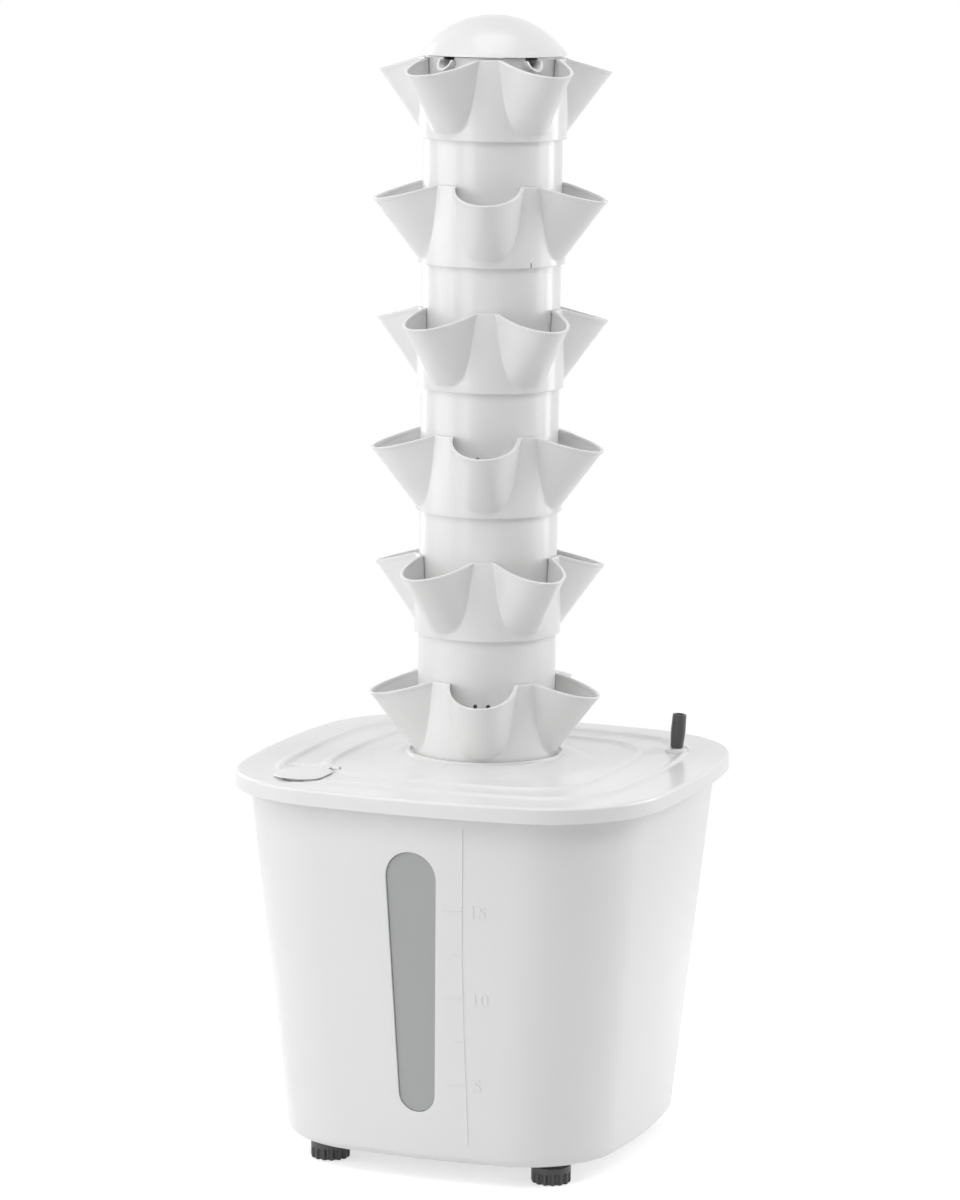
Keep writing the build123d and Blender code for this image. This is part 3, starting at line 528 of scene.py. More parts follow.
collar_base, collar_brow, collar_edge, collar_bore, collar_steps = 93.0, 66.0, 64.0, 61.0, 12
ledge, collar_step, collar_lip = lid_top + 5.6, 0.6, 2.4
spigot_radius, spigot_wall, guide_seat = 55.0, 2.6, 3.0
spigot_bore = spigot_radius - spigot_wall
guide_bore = spigot_bore - guide_seat
flap_x, flap_y, flap_width, flap_length, flap_corner = -108.5, -121.0, 41.0, 48.0, 15.0
core_x, core_y = flap_width / 2 - flap_corner, flap_length / 2 - flap_corner
flap_lip, pad_margin, pad_fade = 4.5, 3.0, 8.0
float_x, float_y = 132.0, 88.5
bush_hole, seat_margin, seat_fade = 7.0, 2.2, 4.0


def soft_step(low, high, value):
    """Smooth rise from 0 at low to 1 at high."""
    share = min(max((value - low) / (high - low), 0.0), 1.0)
    return share * share * (3 - 2 * share)


def flap_distance(point, inset):
    """Distance from the flap's rounded outline, moved in by inset."""
    corner = flap_corner - inset
    side = abs(point[0] - flap_x) - flap_width / 2 + flap_corner
    end = abs(point[1] - flap_y) - flap_length / 2 + flap_corner
    return hypot(max(side, 0), max(end, 0)) + min(max(side, end), 0) - corner


def fill_distance(point):
    """Distance from the wall of the fill hole."""
    return flap_distance(point, flap_lip)


def fill_settle(point):
    """Moves a point of the lid to the fill hole's outline."""
    side, end = point.x - flap_x, point.y - flap_y
    near = Vector((min(max(side, -core_x), core_x), min(max(end, -core_y), core_y)))
    away = (Vector((side, end)) - near).normalized() * (flap_corner - flap_lip)
    return Vector((flap_x + near.x + away.x, flap_y + near.y + away.y, point.z))


def bush_distance(point):
    """Distance from the wall of the float bush's hole."""
    return hypot(point[0] - float_x, point[1] - float_y) - bush_hole


def bush_settle(point):
    """Moves a point of the lid to the float bush's hole."""
    away = Vector((point.x - float_x, point.y - float_y)).normalized() * bush_hole
    return Vector((float_x + away.x, float_y + away.y, point.z))


def lid_ring(half, corner, height, rise=0.0):
    """Bowed outline on the lid, raised by a ripple where no pad or seat levels it."""

    def place(heading):
        reach = bowed_reach(heading, half, corner, lid_side)
        spot = (reach * cos(heading), reach * sin(heading))
        level = (soft_step(0, pad_fade, flap_distance(spot, 0) - pad_margin)
                 * soft_step(0, seat_fade, bush_distance(spot) - seat_margin))
        return (*spot, height + rise * level)

    return place


def ripple_rings(half, corner):
    """Low rounded ridge, from its outer edge inwards."""
    return [lid_ring(half - share * ripple_width, corner - share * ripple_width, lid_top,
                     ripple_height * soft_step(0, ripple_flank, min(share, 1 - share)))
            for share in spread(0, 1, ripple_steps)]


lid_rings = [lid_ring(lid_half - lid_wall, lid_corner - lid_wall, lid_top - lid_rim),
             lid_ring(lid_half, lid_corner, lid_top - lid_rim),
             lid_ring(lid_half, lid_corner, lid_top - lid_rim_row)]
for turn in spread(0, pi / 2, round_steps):
    inset = lid_round * (1 - cos(turn))
    lid_rings.append(lid_ring(lid_half - inset, lid_corner - inset, lid_top - lid_round * (1 - sin(turn))))
lid_rings += [lid_ring(half, outer_corner + (half - outer_half) * border_taper, lid_top)
              for half in border_halves]
lid_rings += ripple_rings(outer_half, outer_corner)
lid_rings += [lid_ring(half, half - outer_half + outer_corner, lid_top) for half in valley_halves]
lid_rings += ripple_rings(middle_half, middle_corner)
lid_rings += [lid_ring(half, corner, lid_top) for half, corner in collar_lead.items()]
lid_rings += turned(*((collar_base + share * (collar_brow - collar_base),
                       lid_top + soft_step(0, 1, share) * (ledge + collar_step - lid_top))
                      for share in spread(0, 1, collar_steps)))
lid_rings += turned((collar_edge, ledge + collar_step), (collar_edge, ledge + collar_lip),
                    (collar_bore, ledge + collar_lip), (collar_bore, ledge),
                    (spigot_radius, ledge), (spigot_radius, lid_high.z), (spigot_bore, lid_high.z),
                    (spigot_bore, ledge), (guide_bore, ledge), (guide_bore, ledge - lid_plate),
                    (collar_brow, ledge - lid_plate), (collar_base, lid_under))
lid_rings += [lid_ring(half, half - gap, lid_under)
              for gap, halves in under_halves.items() for half in halves]
lid_rings += [lid_ring(lid_half - lid_wall, lid_corner - lid_wall, lid_under)]

bm = bmesh.new()
skin(bm, lid_rings, lid_columns, closed=True)

# Finger scoop under the flap's front edge
scoop_x, scoop_y = flap_x, flap_y - flap_length / 2
scoop_width, scoop_length, scoop_depth, scoop_flank = 34.0, 11.0, 2.4, 0.6
scoop_border, scoop_cuts, top_skin = 1.5, 3, 1.0


def scoop_share(point):
    """Distance from the middle of the finger scoop, as a share of its size."""
    return hypot((point.x - scoop_x) / scoop_width, (point.y - scoop_y) / scoop_length) * 2


near_scoop = [edge for edge in bm.edges
              if all(scoop_share(vert.co) < scoop_border and vert.co.z > lid_top - top_skin
                     for vert in edge.verts)]
bmesh.ops.subdivide_edges(bm, edges=near_scoop, cuts=scoop_cuts, use_grid_fill=True)
for vert in bm.verts:
    if vert.co.z > lid_top - top_skin and scoop_share(vert.co) < 1:
        vert.co.z -= scoop_depth * soft_step(0, scoop_flank, 1 - scoop_share(vert.co))

# Holes for filling and for the float's bush, through both sides of the plate
hole_lead, hole_border, level_facing, level_reach, plate_split = 0.8, 15.0, 0.3, 2.3, 2.4


def near_hole(face, level, hole_distance):
    """Whether a face lies near a hole, on the side of the lid's plate that is at a level."""
    middle = face.calc_center_median()
    on_top = middle.z > lid_top - plate_split
    return (abs(middle.z - level) < level_reach and hole_distance(middle) < hole_border
            and abs(face.normal.z) > level_facing and on_top == (level == lid_top))


for hole_distance, settle in ((fill_distance, fill_settle), (bush_distance, bush_settle)):
    loops = []
    for level in (lid_top, lid_under):
        plate = [face for face in bm.faces if near_hole(face, level, hole_distance)]
        loops += open_hole(bm, plate, hole_distance, settle, hole_lead)
    bmesh.ops.bridge_loops(bm, edges=loops)
make_piece(bm, "lid_shell", "lid", white_plastic, ["lid"], edge_round=0.6)


# Lid fittings that hide under it: a soft gasket in the tank's mouth and a spoked guide for the riser.
# Both are plain mouldings, so they keep the CAD's form.
dress("lid_gasket", rubber)
dress("riser_guide", white_plastic)


# Fill flap: a small white cover that lies on the lid's level pad. Its crowned plate has rounded edges,
# and the knuckle behind it turns on a steel pin between two lugs of the lid. A pale silicone ring seals it.
flap_gap, hinge_setback, hinge_lift = 0.7, 3.0, 1.3
flap_base = lid_top + flap_gap
flap_edge = {0.5: 0.0, 0.1: 0.15, 0.0: 0.4, 0.3: 0.85, 1.2: 1.2, 4.0: 1.6, 9.0: 2.0}
flap_crown, flap_columns = 2.4, 96
hinge_y, hinge_z, hinge_radius = flap_y + flap_length / 2 + hinge_setback, lid_top + hinge_lift, 1.9
lug_width, hinge_gap, hinge_columns = 7.0, 0.4, 40
knuckle_length = flap_width - 2 * lug_width - 2 * hinge_gap
web_inset, web_rise, web_thickness = 4.0, 0.9, 1.6
web_y, web_z = flap_y + flap_length / 2 - web_inset, flap_base + web_rise


def flap_ring(inset, height):
    """Rounded outline of the flap, moved in by inset."""

    def place(heading):
        side, end = cos(heading), sin(heading)
        return (flap_x + (core_x if side > 0 else -core_x) + (flap_corner - inset) * side,
                flap_y + (core_y if end > 0 else -core_y) + (flap_corner - inset) * end, height)

    return place


def cross_bar(bm, length, offset):
    """Round bar on the hinge line, offset to one side of the flap's middle."""
    place = Matrix.Translation((flap_x + offset, hinge_y, hinge_z)) @ Matrix.Rotation(pi / 2, 4, "Y")
    bmesh.ops.create_cone(bm, cap_ends=True, segments=hinge_columns, radius1=hinge_radius,
                          radius2=hinge_radius, depth=length, matrix=place)


bm = bmesh.new()
skin(bm, [lambda heading: (flap_x, flap_y, flap_base),
          *(flap_ring(inset, flap_base + height) for inset, height in flap_edge.items()),
          lambda heading: (flap_x, flap_y, flap_base + flap_crown)], flap_columns)
cross_bar(bm, knuckle_length, 0)
bmesh.ops.create_cube(bm, size=1.0, matrix=Matrix.Translation((flap_x, (web_y + hinge_y) / 2, web_z))
                      @ Matrix.Diagonal((knuckle_length, hinge_y - web_y, web_thickness, 1)))
make_piece(bm, "flap_cover", "flap", white_plastic, ["fill_flap"], edge_round=0.25)

bm = bmesh.new()
for side in (-1, 1):
    cross_bar(bm, lug_width, side * (flap_width - lug_width) / 2)
make_piece(bm, "flap_lugs", "lid", white_plastic, edge_round=0.3)
dress("flap_pin", stainless_steel)
pale_silicone = plastic("pale_silicone", (0.74, 0.74, 0.735), (0.70, 0.70, 0.70), 0.6, 900.0, 0.0002)
dress("flap_seal", pale_silicone)


# Float indicator: a dark stub with an open mouth leans in a low white bush in the back right corner.
# The stub is pressed on a steel stem with a foam float below, out of sight in the tank.
bush_flange, bush_radius, bush_bore = 8.8, 6.8, 3.43
bush_height, bush_depth, bush_seat, bush_columns = 3.2, 9.0, 0.1, 64
stub_foot, stub_waist, stub_brow, stub_height = 5.2, 6.0, 5.6, 27.5
stub_mouth, stub_mouth_depth, stub_gap, stub_columns = 3.6, 8.0, 0.2, 48
stub_lean, stub_heading = radians(4.0), radians(20.0)
stub_lift = (bush_height + bush_depth) / 2 + stub_foot * sin(stub_lean) / cos(stub_lean) + stub_gap

bm = bmesh.new()
skin(bm, turned((bush_bore, -bush_depth), (bush_radius, -bush_depth), (bush_radius, bush_seat),
                (bush_flange, bush_seat), (bush_flange, bush_height - 1.1),
                (bush_flange - 0.3, bush_height - 0.35), (bush_flange - 1.1, bush_height),
                (bush_bore + 0.6, bush_height), (bush_bore, bush_height - 0.6)), bush_columns, closed=True)
bmesh.ops.translate(bm, vec=(float_x, float_y, lid_top), verts=bm.verts)
make_piece(bm, "float_collar", "lid", white_plastic, ["float_bush"], edge_round=0.25)

bm = bmesh.new()
skin(bm, turned((0, 0), (stub_foot - 0.6, 0), (stub_foot, 0.6), (stub_waist, stub_height / 2),
                (stub_brow, stub_height - 0.7), (stub_brow - 0.25, stub_height - 0.2),
                (stub_brow - 0.8, stub_height), (stub_mouth + 0.4, stub_height),
                (stub_mouth, stub_height - 0.5), (stub_mouth, stub_height - stub_mouth_depth),
                (0, stub_height - stub_mouth_depth)), stub_columns)
bmesh.ops.transform(bm, verts=bm.verts, matrix=(
    Matrix.Translation((float_x, float_y, lid_top + (bush_height - bush_depth) / 2))
    @ Matrix.Rotation(stub_heading, 4, "Z") @ Matrix.Rotation(stub_lean, 4, "Y")
    @ Matrix.Translation((0, 0, stub_lift))))
make_piece(bm, "float_stub", "float", grey_plastic, ["float_cap"])
dress("float_stem", stainless_steel)
float_foam = plastic("float_foam", (0.70, 0.68, 0.62), (0.60, 0.58, 0.52), 0.8, 500.0, 0.0006)
dress("float_body", float_foam)


# Planting rings: the tower's main mouldings. A skirt that slips over the tube below flares into five
# pockets, round at the foot and drawn out to half an ellipse at their thin lips, with a crisp crease on
# each side. The webs between them hold the tube above on inner ribs.
tier_count = 6
tower_turn = radians(16.5 - 90)
ring_height, ring_radius, ring_bore = 63.5, 58.3, 55.4
pocket_count, pocket_reach, pocket_drop = 5, 96.0, 12.0
pocket_foot, pocket_foot_radius, pocket_wall = 3.0, 21.0, 2.0
pocket_half_width, pocket_depth = 26.4, 43.5
pocket_rise = ring_height - pocket_drop - pocket_foot
pocket_flare = (pocket_reach - ring_radius) / pocket_rise
pocket_widening = (pocket_half_width - pocket_foot_radius) / pocket_rise
pocket_deepening = (pocket_depth - pocket_foot_radius) / pocket_rise
rim_slope = pocket_drop / (pocket_reach - ring_radius)
pocket_turn = tau / pocket_count
crease_blend, crease_column, crowding, crease_rounds, rim_rounds = 0.8, 0.55, 1.3, 24, 14
ring_columns = pocket_count * 160
level_rows = [4.4, 5.4, 6.6, 8.2, 10.2, 12.8, 16.0, 20.0, 25.0, 30.5, 36.0]
rim_rows, bead_foot, bead_swell = [0.33, 0.67], 3.4, 0.5
bead_rows = {bead_foot: 0.0, 2.7: 0.3, 1.9: bead_swell, 0.7: bead_swell}
lip_rows = [(0.06, 0.2), (0.2, 0), (0.8, 0), (0.94, 0.2)]
outer_hem, inner_hem = [(0.78, 0.0), (0.22, 0.0), (0.06, 0.2), (0, 0.7)], [(1, 0.7), (0.94, 0.2)]
notch_width, notch_height, notched_tier = 1.3, 4.3, 2
rib_depth, rib_width, rib_low, rib_high, rib_sink = 3.6, 10.0, 18.0, 38.0, 0.5


def smooth_max(first, second, blend):
    """The larger of two numbers, eased over blend where they meet."""
    near = max(blend - abs(first - second), 0) / blend
    return max(first, second) + near * near * blend / 4


def pocket_edge(turn, height, inset):
    """Distance from the axis to a pocket's own wall, at a turn from its middle."""
    rise = height - pocket_foot
    half_width = pocket_foot_radius + pocket_widening * rise - inset
    depth = pocket_foot_radius + pocket_deepening * rise - inset
    centre = ring_radius + pocket_flare * rise - inset - depth
    if turn > atan2(half_width, centre):
        return half_width / sin(turn)
    along, across, lead = cos(turn) / depth, sin(turn) / half_width, centre / depth
    square = along**2 + across**2
    return (lead * along + sqrt((lead * along) ** 2 - square * (lead**2 - 1))) / square


def ring_reach(turn, height, inset):
    """Distance from the axis to the ring's outside, or to its inside where inset is the pocket's wall."""
    return smooth_max(ring_bore if inset > 0 else ring_radius, pocket_edge(turn, height, inset), crease_blend)


@lru_cache(maxsize=None)
def crease_turn(height, inset):
    """Turn from a pocket's middle at which its wall leaves the skirt, from the crowded columns on."""
    skirt = ring_bore if inset > 0 else ring_radius
    low, high = crease_column * pocket_turn / 2, pocket_turn / 2
    for _ in range(crease_rounds):
        middle = (low + high) / 2
        low, high = (middle, high) if pocket_edge(middle, height, inset) > skirt else (low, middle)
    return low


def column_turn(column, height, inset):
    """Turn of a column from its pocket's middle. The columns crowd towards the crease."""
    crease = crease_turn(round(height, 3), inset)
    if column < crease_column:
        return crease * (1 - (1 - column / crease_column) ** crowding)
    return crease + (pocket_turn / 2 - crease) * ((column - crease_column) / (1 - crease_column)) ** crowding


@lru_cache(maxsize=None)
def rim_height(column, inset):
    """Height at which the shallow cone that trims the ring's top meets a column's wall."""
    height = ring_height
    for _ in range(rim_rounds):
        reach = ring_reach(column_turn(column, height, inset), height, inset)
        height = ring_height - rim_slope * max(reach - ring_radius, 0)
    return height


def ring_point(heading, height, share, below, inset):
    """Point of the wall at a height, or share of the way from there to just below the rim."""
    pocket = round(heading / pocket_turn)
    offset = heading / (pocket_turn / 2) - 2 * pocket
    column = round(abs(offset), 6)
    level = height + share * (rim_height(column, inset) - below - height)
    turn = column_turn(column, level, inset)
    reach = ring_reach(turn, level, inset)
    heading = pocket * pocket_turn + copysign(turn, offset)
    return Vector((reach * cos(heading), reach * sin(heading), level))


def wall_ring(height, share, below, inset):
    """Ring of the wall at a height, or share of the way from there to just below the rim."""
    return lambda heading: ring_point(heading, height, share, below, inset)


def lip_ring(share, below):
    """Ring of the pockets' lip, share of the way in from its outer edge and below the trimming cone."""

    def place(heading):
        outer = ring_point(heading, 0, 1, below, -bead_swell)
        return outer.lerp(ring_point(heading, 0, 1, below, pocket_wall + bead_swell), share)

    return place


def hem_ring(share, above):
    """Ring of the skirt's lower edge, share of the way in, notched where the mould was fed."""

    def place(heading):
        reach = ring_radius + share * (ring_bore - ring_radius)
        off_notch = abs(heading - pocket_turn / 2) * ring_radius
        height = notch_height if off_notch < notch_width / 2 else above
        return (reach * cos(heading), reach * sin(heading), height)

    return place


def upright_block(bm, turn, radius, depth, width, low, high):
    """Block at a turn and a distance from the axis, between two heights."""
    bmesh.ops.create_cube(bm, size=1.0, matrix=Matrix.Rotation(turn, 4, "Z")
                          @ Matrix.Translation((radius, 0, (low + high) / 2))
                          @ Matrix.Diagonal((depth, width, high - low, 1)))


def stack(bm, base, turn):
    """Turns a mesh round the tower's axis and lifts it to its place in the tower."""
    bmesh.ops.transform(bm, verts=bm.verts, matrix=Matrix.Translation((0, 0, base))
                        @ Matrix.Rotation(turn, 4, "Z"))


def node_base(node):
    """Height of a CAD node's foot, in millimetres."""
    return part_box(node)[0].z / MM


ring_rings = [hem_ring(share, above) for share, above in outer_hem]
ring_rings += [wall_ring(height, 0, 0, 0) for height in level_rows]
ring_rings += [wall_ring(level_rows[-1], share, bead_foot, 0) for share in rim_rows]
ring_rings += [wall_ring(0, 1, below, -swell) for below, swell in bead_rows.items()]
ring_rings += [lip_ring(share, below) for share, below in lip_rows]
ring_rings += [wall_ring(0, 1, below, pocket_wall + swell) for below, swell in reversed(bead_rows.items())]
ring_rings += [wall_ring(level_rows[-1], share, bead_foot, pocket_wall) for share in reversed(rim_rows)]
ring_rings += [wall_ring(height, 0, 0, pocket_wall) for height in reversed(level_rows)]
ring_rings += [hem_ring(share, above) for share, above in inner_hem]

ring_form = bmesh.new()
skin(ring_form, ring_rings, ring_columns, closed=True)
for pocket in range(pocket_count):
    upright_block(ring_form, (pocket + 0.5) * pocket_turn, ring_bore - rib_depth / 2 + rib_sink,
                  rib_depth + 2 * rib_sink, rib_width, rib_low, rib_high)
for tier in range(1, tier_count + 1):
    node = f"planting_ring_{tier}"
    notch_turn = 0 if tier == notched_tier else 2 * pocket_turn
    bm = ring_form.copy()
    stack(bm, node_base(node), tower_turn + (tier_count - tier) % 2 * pocket_turn / 2 + notch_turn)
    make_piece(bm, f"ring_shell_{tier}", f"ring_{tier}", white_plastic, [node])
ring_form.free()


# Drip tubes: plain lengths of white pipe between the rings. A tray inside each holds the water back,
# and two small holes over every pocket of the ring below let it drip out.
tube_radius, tube_wall, tube_columns = 55.0, 2.5, 180
tray_low, tray_high = 2.4, 4.2
chimney_bore, chimney_wall, chimney_top = 10.4, 2.0, 17.5
drip_radius, drip_height, drip_spread = 1.7, 7.8, radians(10.8)
drip_lead, drip_border, drip_zone, wall_reach = 0.25, 6.0, 20.0, 0.3
tube_low, tube_high = node_box("drip_tube_5")
tube_length = tube_high.z - tube_low.z
tube_bore = tube_radius - tube_wall
chimney_radius = chimney_bore + chimney_wall
foot_row, drip_margin, drip_steps, plain_foot, plain_steps = 2.0, 3.3, 8, 16.0, 6
drip_rows = spread(drip_height - drip_margin, drip_height + drip_margin, drip_steps)
tube_rows = [foot_row, *drip_rows, *spread(plain_foot, tube_length, plain_steps)]


def drip_turn(point, heading):
    """Turn of a point round the tube from a heading."""
    return (atan2(point.y, point.x) - heading + pi) % tau - pi


def drip_offset(heading):
    """Function for the distance of a point of the tube from the edge of the drip hole at a heading."""
    return lambda point: hypot(tube_radius * drip_turn(point, heading), point.z - drip_height) - drip_radius


def drip_settle(heading, radius):
    """Function that moves a point of the tube's wall to the edge of the drip hole at a heading."""

    def settle(point):
        away = Vector((tube_radius * drip_turn(point, heading), point.z - drip_height))
        away = away.normalized() * drip_radius
        new_heading = heading + away.x / tube_radius
        return Vector((radius * cos(new_heading), radius * sin(new_heading), drip_height + away.y))

    return settle


def near_drip(face, heading, radius):
    """Whether a face of the tube's wall, inside or outside, lies near the drip hole at a heading."""
    middle = face.calc_center_median()
    return (abs(middle.xy.length - radius) < wall_reach and middle.z < drip_zone
            and drip_offset(heading)(middle) < drip_border)


tube_form = bmesh.new()
skin(tube_form, turned((tube_bore, 0), (tube_radius, 0), *((tube_radius, height) for height in tube_rows),
                       (tube_bore, tube_length), *((tube_bore, height) for height in reversed(drip_rows)),
                       (chimney_radius, tray_high), (chimney_radius, chimney_top),
                       (chimney_bore, chimney_top), (chimney_bore, tray_low), (tube_bore, tray_low)),
     tube_columns, closed=True)
for pocket in range(pocket_count):
    for side in (-0.5, 0.5):
        heading = pocket * pocket_turn + side * drip_spread
        loops = []
        for radius in (tube_radius, tube_bore):
            wall = [face for face in tube_form.faces if near_drip(face, heading, radius)]
            loops += open_hole(tube_form, wall, drip_offset(heading), drip_settle(heading, radius), drip_lead)
        bmesh.ops.bridge_loops(tube_form, edges=loops)
for tier in range(1, tier_count):
    node = f"drip_tube_{tier}"
    bm = tube_form.copy()
    stack(bm, node_base(node), tower_turn + (tier_count - tier - 1) % 2 * pocket_turn / 2)
    make_piece(bm, f"tube_shell_{tier}", f"tube_{tier}", white_plastic, [node],
               edge_round=0.3)
tube_form.free()


# Water distributor: a white dish on the top ring's ribs, fed by the riser. Five open U-shaped spouts
# on its rim lead the water out over the top pockets.
dish_radius, dish_wall, dish_floor, dish_rim, dish_columns = 55.0, 2.0, 12.0, 26.9, 96
dish_bore, dish_under = dish_radius - dish_wall, dish_floor - dish_wall
riser_radius, riser_wall, hub_bore, hub_wall, hub_depth = 10.0, 2.3, 10.2, 2.5, 12.0
riser_bore, hub_drop = riser_radius - riser_wall, hub_depth - dish_under
dish_base = node_base("water_distributor") + hub_drop
spout_bore, spout_wall, spout_cheek, spout_start, spout_reach = 5.2, 1.8, 1.2, 44.0, 59.0
spout_foot, spout_beak, spout_step, spout_steps = 16.5, 6.0, 0.1, 24
spout_height = spout_bore + spout_wall + spout_cheek
spout_centre = spout_foot + spout_bore + spout_wall
top_turn = tower_turn + pocket_turn / 2


def dish_brim(radius):
    """Upper edge of the dish, cut down to the round of each spout."""

    def place(heading):
        turn = (heading + pocket_turn / 2) % pocket_turn - pocket_turn / 2
        side = abs(radius * sin(turn))
        height = dish_rim
        if side < spout_bore:
            height = spout_centre - sqrt(spout_bore**2 - side**2) - spout_step
        return (radius * cos(heading), radius * sin(heading), height)

    return place


bm = bmesh.new()
skin(bm, [level_ring(dish_radius, 0), dish_brim(dish_radius), dish_brim(dish_bore),
          *turned((dish_bore, dish_floor), (riser_bore, dish_floor), (riser_bore, dish_under),
                  (hub_bore, dish_under), (hub_bore, dish_under - hub_depth),
                  (hub_bore + hub_wall, dish_under - hub_depth), (hub_bore + hub_wall, dish_under),
                  (dish_bore, dish_under), (dish_bore, 0))], pocket_count * dish_columns, closed=True)
for spout in range(pocket_count):
    outline = []
    for radius, start, end in ((spout_bore + spout_wall, -pi, 0), (spout_bore, 0, -pi)):
        arc = [(radius * cos(turn), radius * sin(turn)) for turn in spread(start, end, spout_steps)]
        outline += [(arc[0][0], spout_cheek), *arc, (arc[-1][0], spout_cheek)]
    section = [bm.verts.new((spout_start, side, spout_centre + up)) for side, up in outline]
    grown = bmesh.ops.extrude_face_region(bm, geom=[bm.faces.new(section)])["geom"]
    far = [item for item in grown if isinstance(item, bmesh.types.BMVert)]
    for vert in far:
        vert.co.x = spout_reach + spout_beak * (spout_centre + spout_cheek - vert.co.z) / spout_height
    bmesh.ops.rotate(bm, cent=(0, 0, 0), matrix=Matrix.Rotation(spout * pocket_turn, 3, "Z"),
                     verts=section + far)
stack(bm, dish_base, top_turn)
make_piece(bm, "distributor_dish", "ring_1", white_plastic, ["water_distributor"],
           edge_round=0.3)


# Dome cap: a shallow white moulding that closes the tower. It stands on the rim of the dish, and tabs
# under it fit inside that rim and keep it in place.
dome_radius, dome_rise, dome_wall, dome_lip, dome_gap = 58.0, 31.2, 2.4, 0.965, 0.3
dome_base = dish_base + dish_rim + dome_gap
dome_steps, dome_columns = 28, 160
tab_radius, tab_wall, tab_width, tab_depth, tab_top = 51.6, 2.0, 10.0, 4.5, 5.5
cap_radius = (dome_radius**2 + dome_rise**2) / (2 * dome_rise)
cap_span = asin(dome_radius / cap_radius)
dome_profile = []
for radius, start, end in ((cap_radius, cap_span, 0), (cap_radius - dome_wall, 0, cap_span * dome_lip)):
    dome_profile += [(radius * sin(turn), max(dome_rise - cap_radius + radius * cos(turn), 0))
                     for turn in spread(start, end, dome_steps)]
bm = bmesh.new()
skin(bm, turned(*dome_profile), dome_columns, closed=True)
for tab in range(pocket_count):
    upright_block(bm, (tab + 0.5) * pocket_turn, tab_radius, tab_wall, tab_width, -tab_depth, tab_top)
stack(bm, dome_base, top_turn)
make_piece(bm, "dome_shell", "dome", white_plastic, ["dome_cap"], edge_round=0.4)


# Floor, backdrop and light: a pale floor that turns white away from the tower, with broad soft lamps at
# both sides and above, as in a product picture. The camera stands to the right of the level window.
floor_size, floor_glow = 40.0, 0.6
near_floor, far_floor = 0.45, 1.2
floor_grey, pure_white = (0.8, 0.8, 0.8, 1.0), (1.0, 1.0, 1.0, 1.0)
room_light = 0.08


def shown_rays(tree):
    """1 for what the camera sees straight or in a mirror or glass, 0 for the light on the object."""
    path = tree.nodes.new("ShaderNodeLightPath")
    camera_ray, glossy_ray, clear_ray = (Wire(path.outputs[name]) for name in (
        "Is Camera Ray", "Is Glossy Ray", "Is Transmission Ray"))
    return add_node(tree, "ShaderNodeClamp", {}, {"Value": camera_ray + glossy_ray + clear_ray})


bm = bmesh.new()
bmesh.ops.create_grid(bm, x_segments=1, y_segments=1, size=floor_size / 2)
mesh = bpy.data.meshes.new("floor")
bm.to_mesh(mesh)
bm.free()
floor = bpy.data.objects.new("floor", mesh)
bpy.context.collection.objects.link(floor)
floor_paint = bpy.data.materials.new("floor_paint")
floor_paint.use_nodes = True
tree = floor_paint.node_tree
tree.nodes.clear()
pale = add_node(tree, "ShaderNodeBsdfDiffuse", {}, {"Color": floor_grey})
glow = add_node(tree, "ShaderNodeEmission", {}, {"Color": pure_white, "Strength": floor_glow})
near = add_node(tree, "ShaderNodeAddShader", {}, {0: pale, 1: glow})
white = add_node(tree, "ShaderNodeEmission", {}, {"Color": pure_white, "Strength": 1.0})
place = add_node(tree, "ShaderNodeTexCoord", {}, {}, "Object")
distance = add_node(tree, "ShaderNodeVectorMath", {"operation": "LENGTH"}, {0: place}, "Value")
far = add_node(tree, "ShaderNodeMapRange", {"interpolation_type": "SMOOTHSTEP"},
               {"Value": distance, "From Min": near_floor, "From Max": far_floor})
lit = add_node(tree, "ShaderNodeMixShader", {}, {0: far, 1: near, 2: white})
seen = add_node(tree, "ShaderNodeMixShader", {}, {0: shown_rays(tree), 1: pale, 2: lit})
output = tree.nodes.new("ShaderNodeOutputMaterial")
tree.links.new(seen.socket, output.inputs["Surface"])
mesh.materials.append(floor_paint)

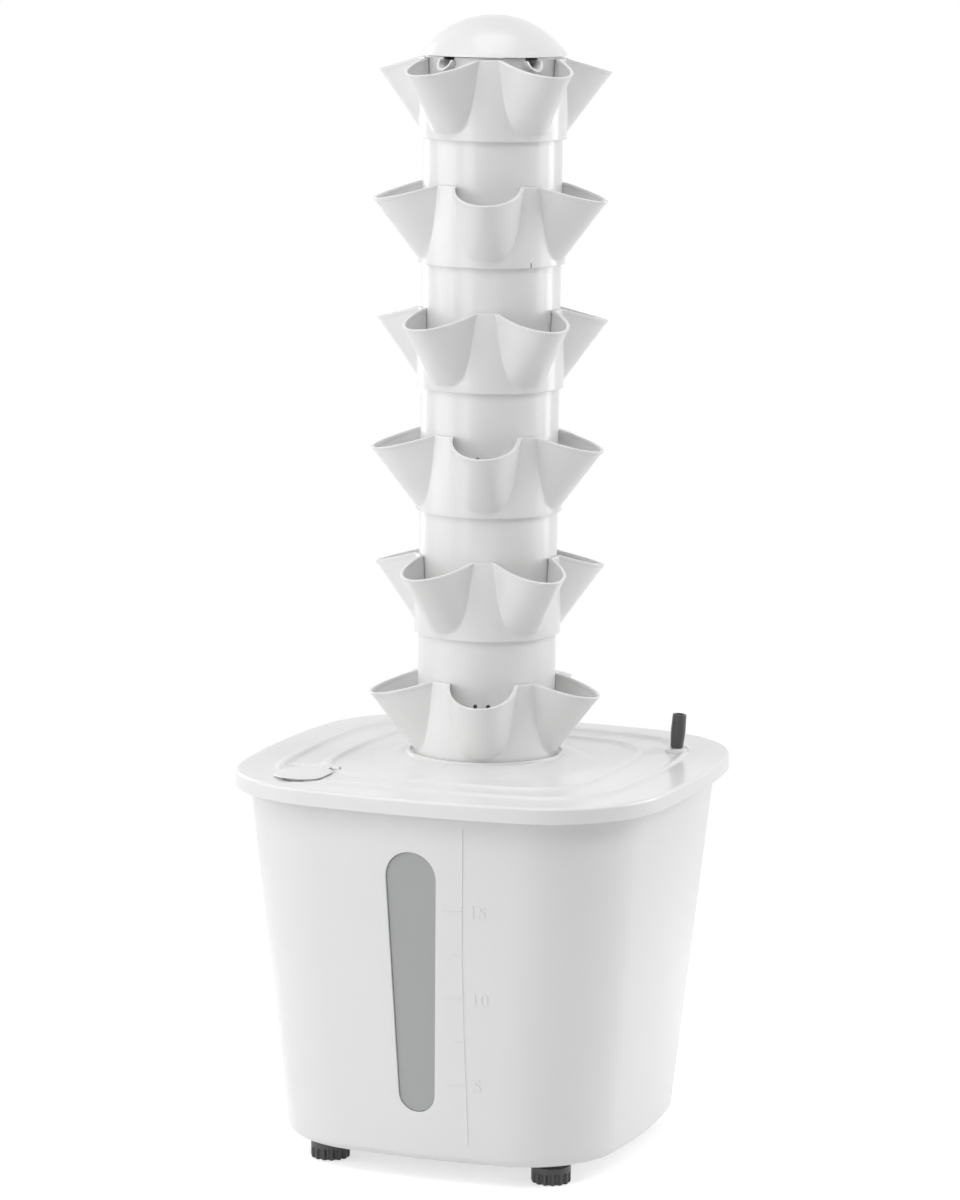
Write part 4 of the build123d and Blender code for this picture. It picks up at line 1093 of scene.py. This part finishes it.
world = bpy.data.worlds.new("studio")
bpy.context.scene.world = world
world.use_nodes = True
tree = world.node_tree
backdrop = tree.nodes["Background"]
backdrop.inputs["Color"].default_value = pure_white
strength = room_light + (1 - room_light) * shown_rays(tree)
tree.links.new(strength.socket, backdrop.inputs["Strength"])

camera_place, camera_heading, camera_pitch, camera_roll = (1.308, -3.5325, 1.0524), 20.41, 9.16, 0.67
lamp_aim = Vector((0, 0, 0.45))


def soft_box(name, turn, distance, height, width, tall, power):
    """Broad soft lamp at a turn to the right of the camera, aimed at the object's middle."""
    heading = radians(camera_heading - 90 + turn)
    lamp = bpy.data.lights.new(name, "AREA")
    lamp.shape = "RECTANGLE"
    lamp.size, lamp.size_y = width, tall
    lamp.energy = power
    box = bpy.data.objects.new(name, lamp)
    box.location = (distance * cos(heading), distance * sin(heading), height)
    box.rotation_euler = (lamp_aim - box.location).to_track_quat("-Z", "Y").to_euler()
    bpy.context.collection.objects.link(box)


soft_box("back_left_light", -140, 3.0, 1.1, 1.0, 2.2, 18)
soft_box("left_light", -82, 3.0, 1.1, 2.2, 2.2, 31)
soft_box("front_left_light", -40, 3.0, 1.1, 1.0, 2.2, 18)
soft_box("right_light", 90, 3.0, 1.1, 1.0, 2.2, 18)
soft_box("strip_light", 112, 3.0, 1.1, 0.9, 2.2, 28)
soft_box("high_left_light", -60, 3.3, 4.2, 1.8, 1.8, 42)
soft_box("high_front_light", 0, 3.3, 4.2, 1.8, 1.8, 43)
soft_box("high_right_light", 60, 3.3, 4.2, 1.8, 1.8, 40)
soft_box("top_light", 0, 0.2, 5.4, 3.0, 3.0, 62)

camera = bpy.data.cameras.new("camera")
camera.lens = 143.08
camera.sensor_width = 36.0
camera.clip_end = 100.0
view = bpy.data.objects.new("camera", camera)
view.matrix_world = (Matrix.Translation(camera_place) @ Matrix.Rotation(radians(camera_heading), 4, "Z")
                     @ Matrix.Rotation(radians(90 - camera_pitch), 4, "X")
                     @ Matrix.Rotation(radians(camera_roll), 4, "Z"))
bpy.context.collection.objects.link(view)
bpy.context.scene.camera = view
bpy.context.scene.view_settings.view_transform = "Standard"
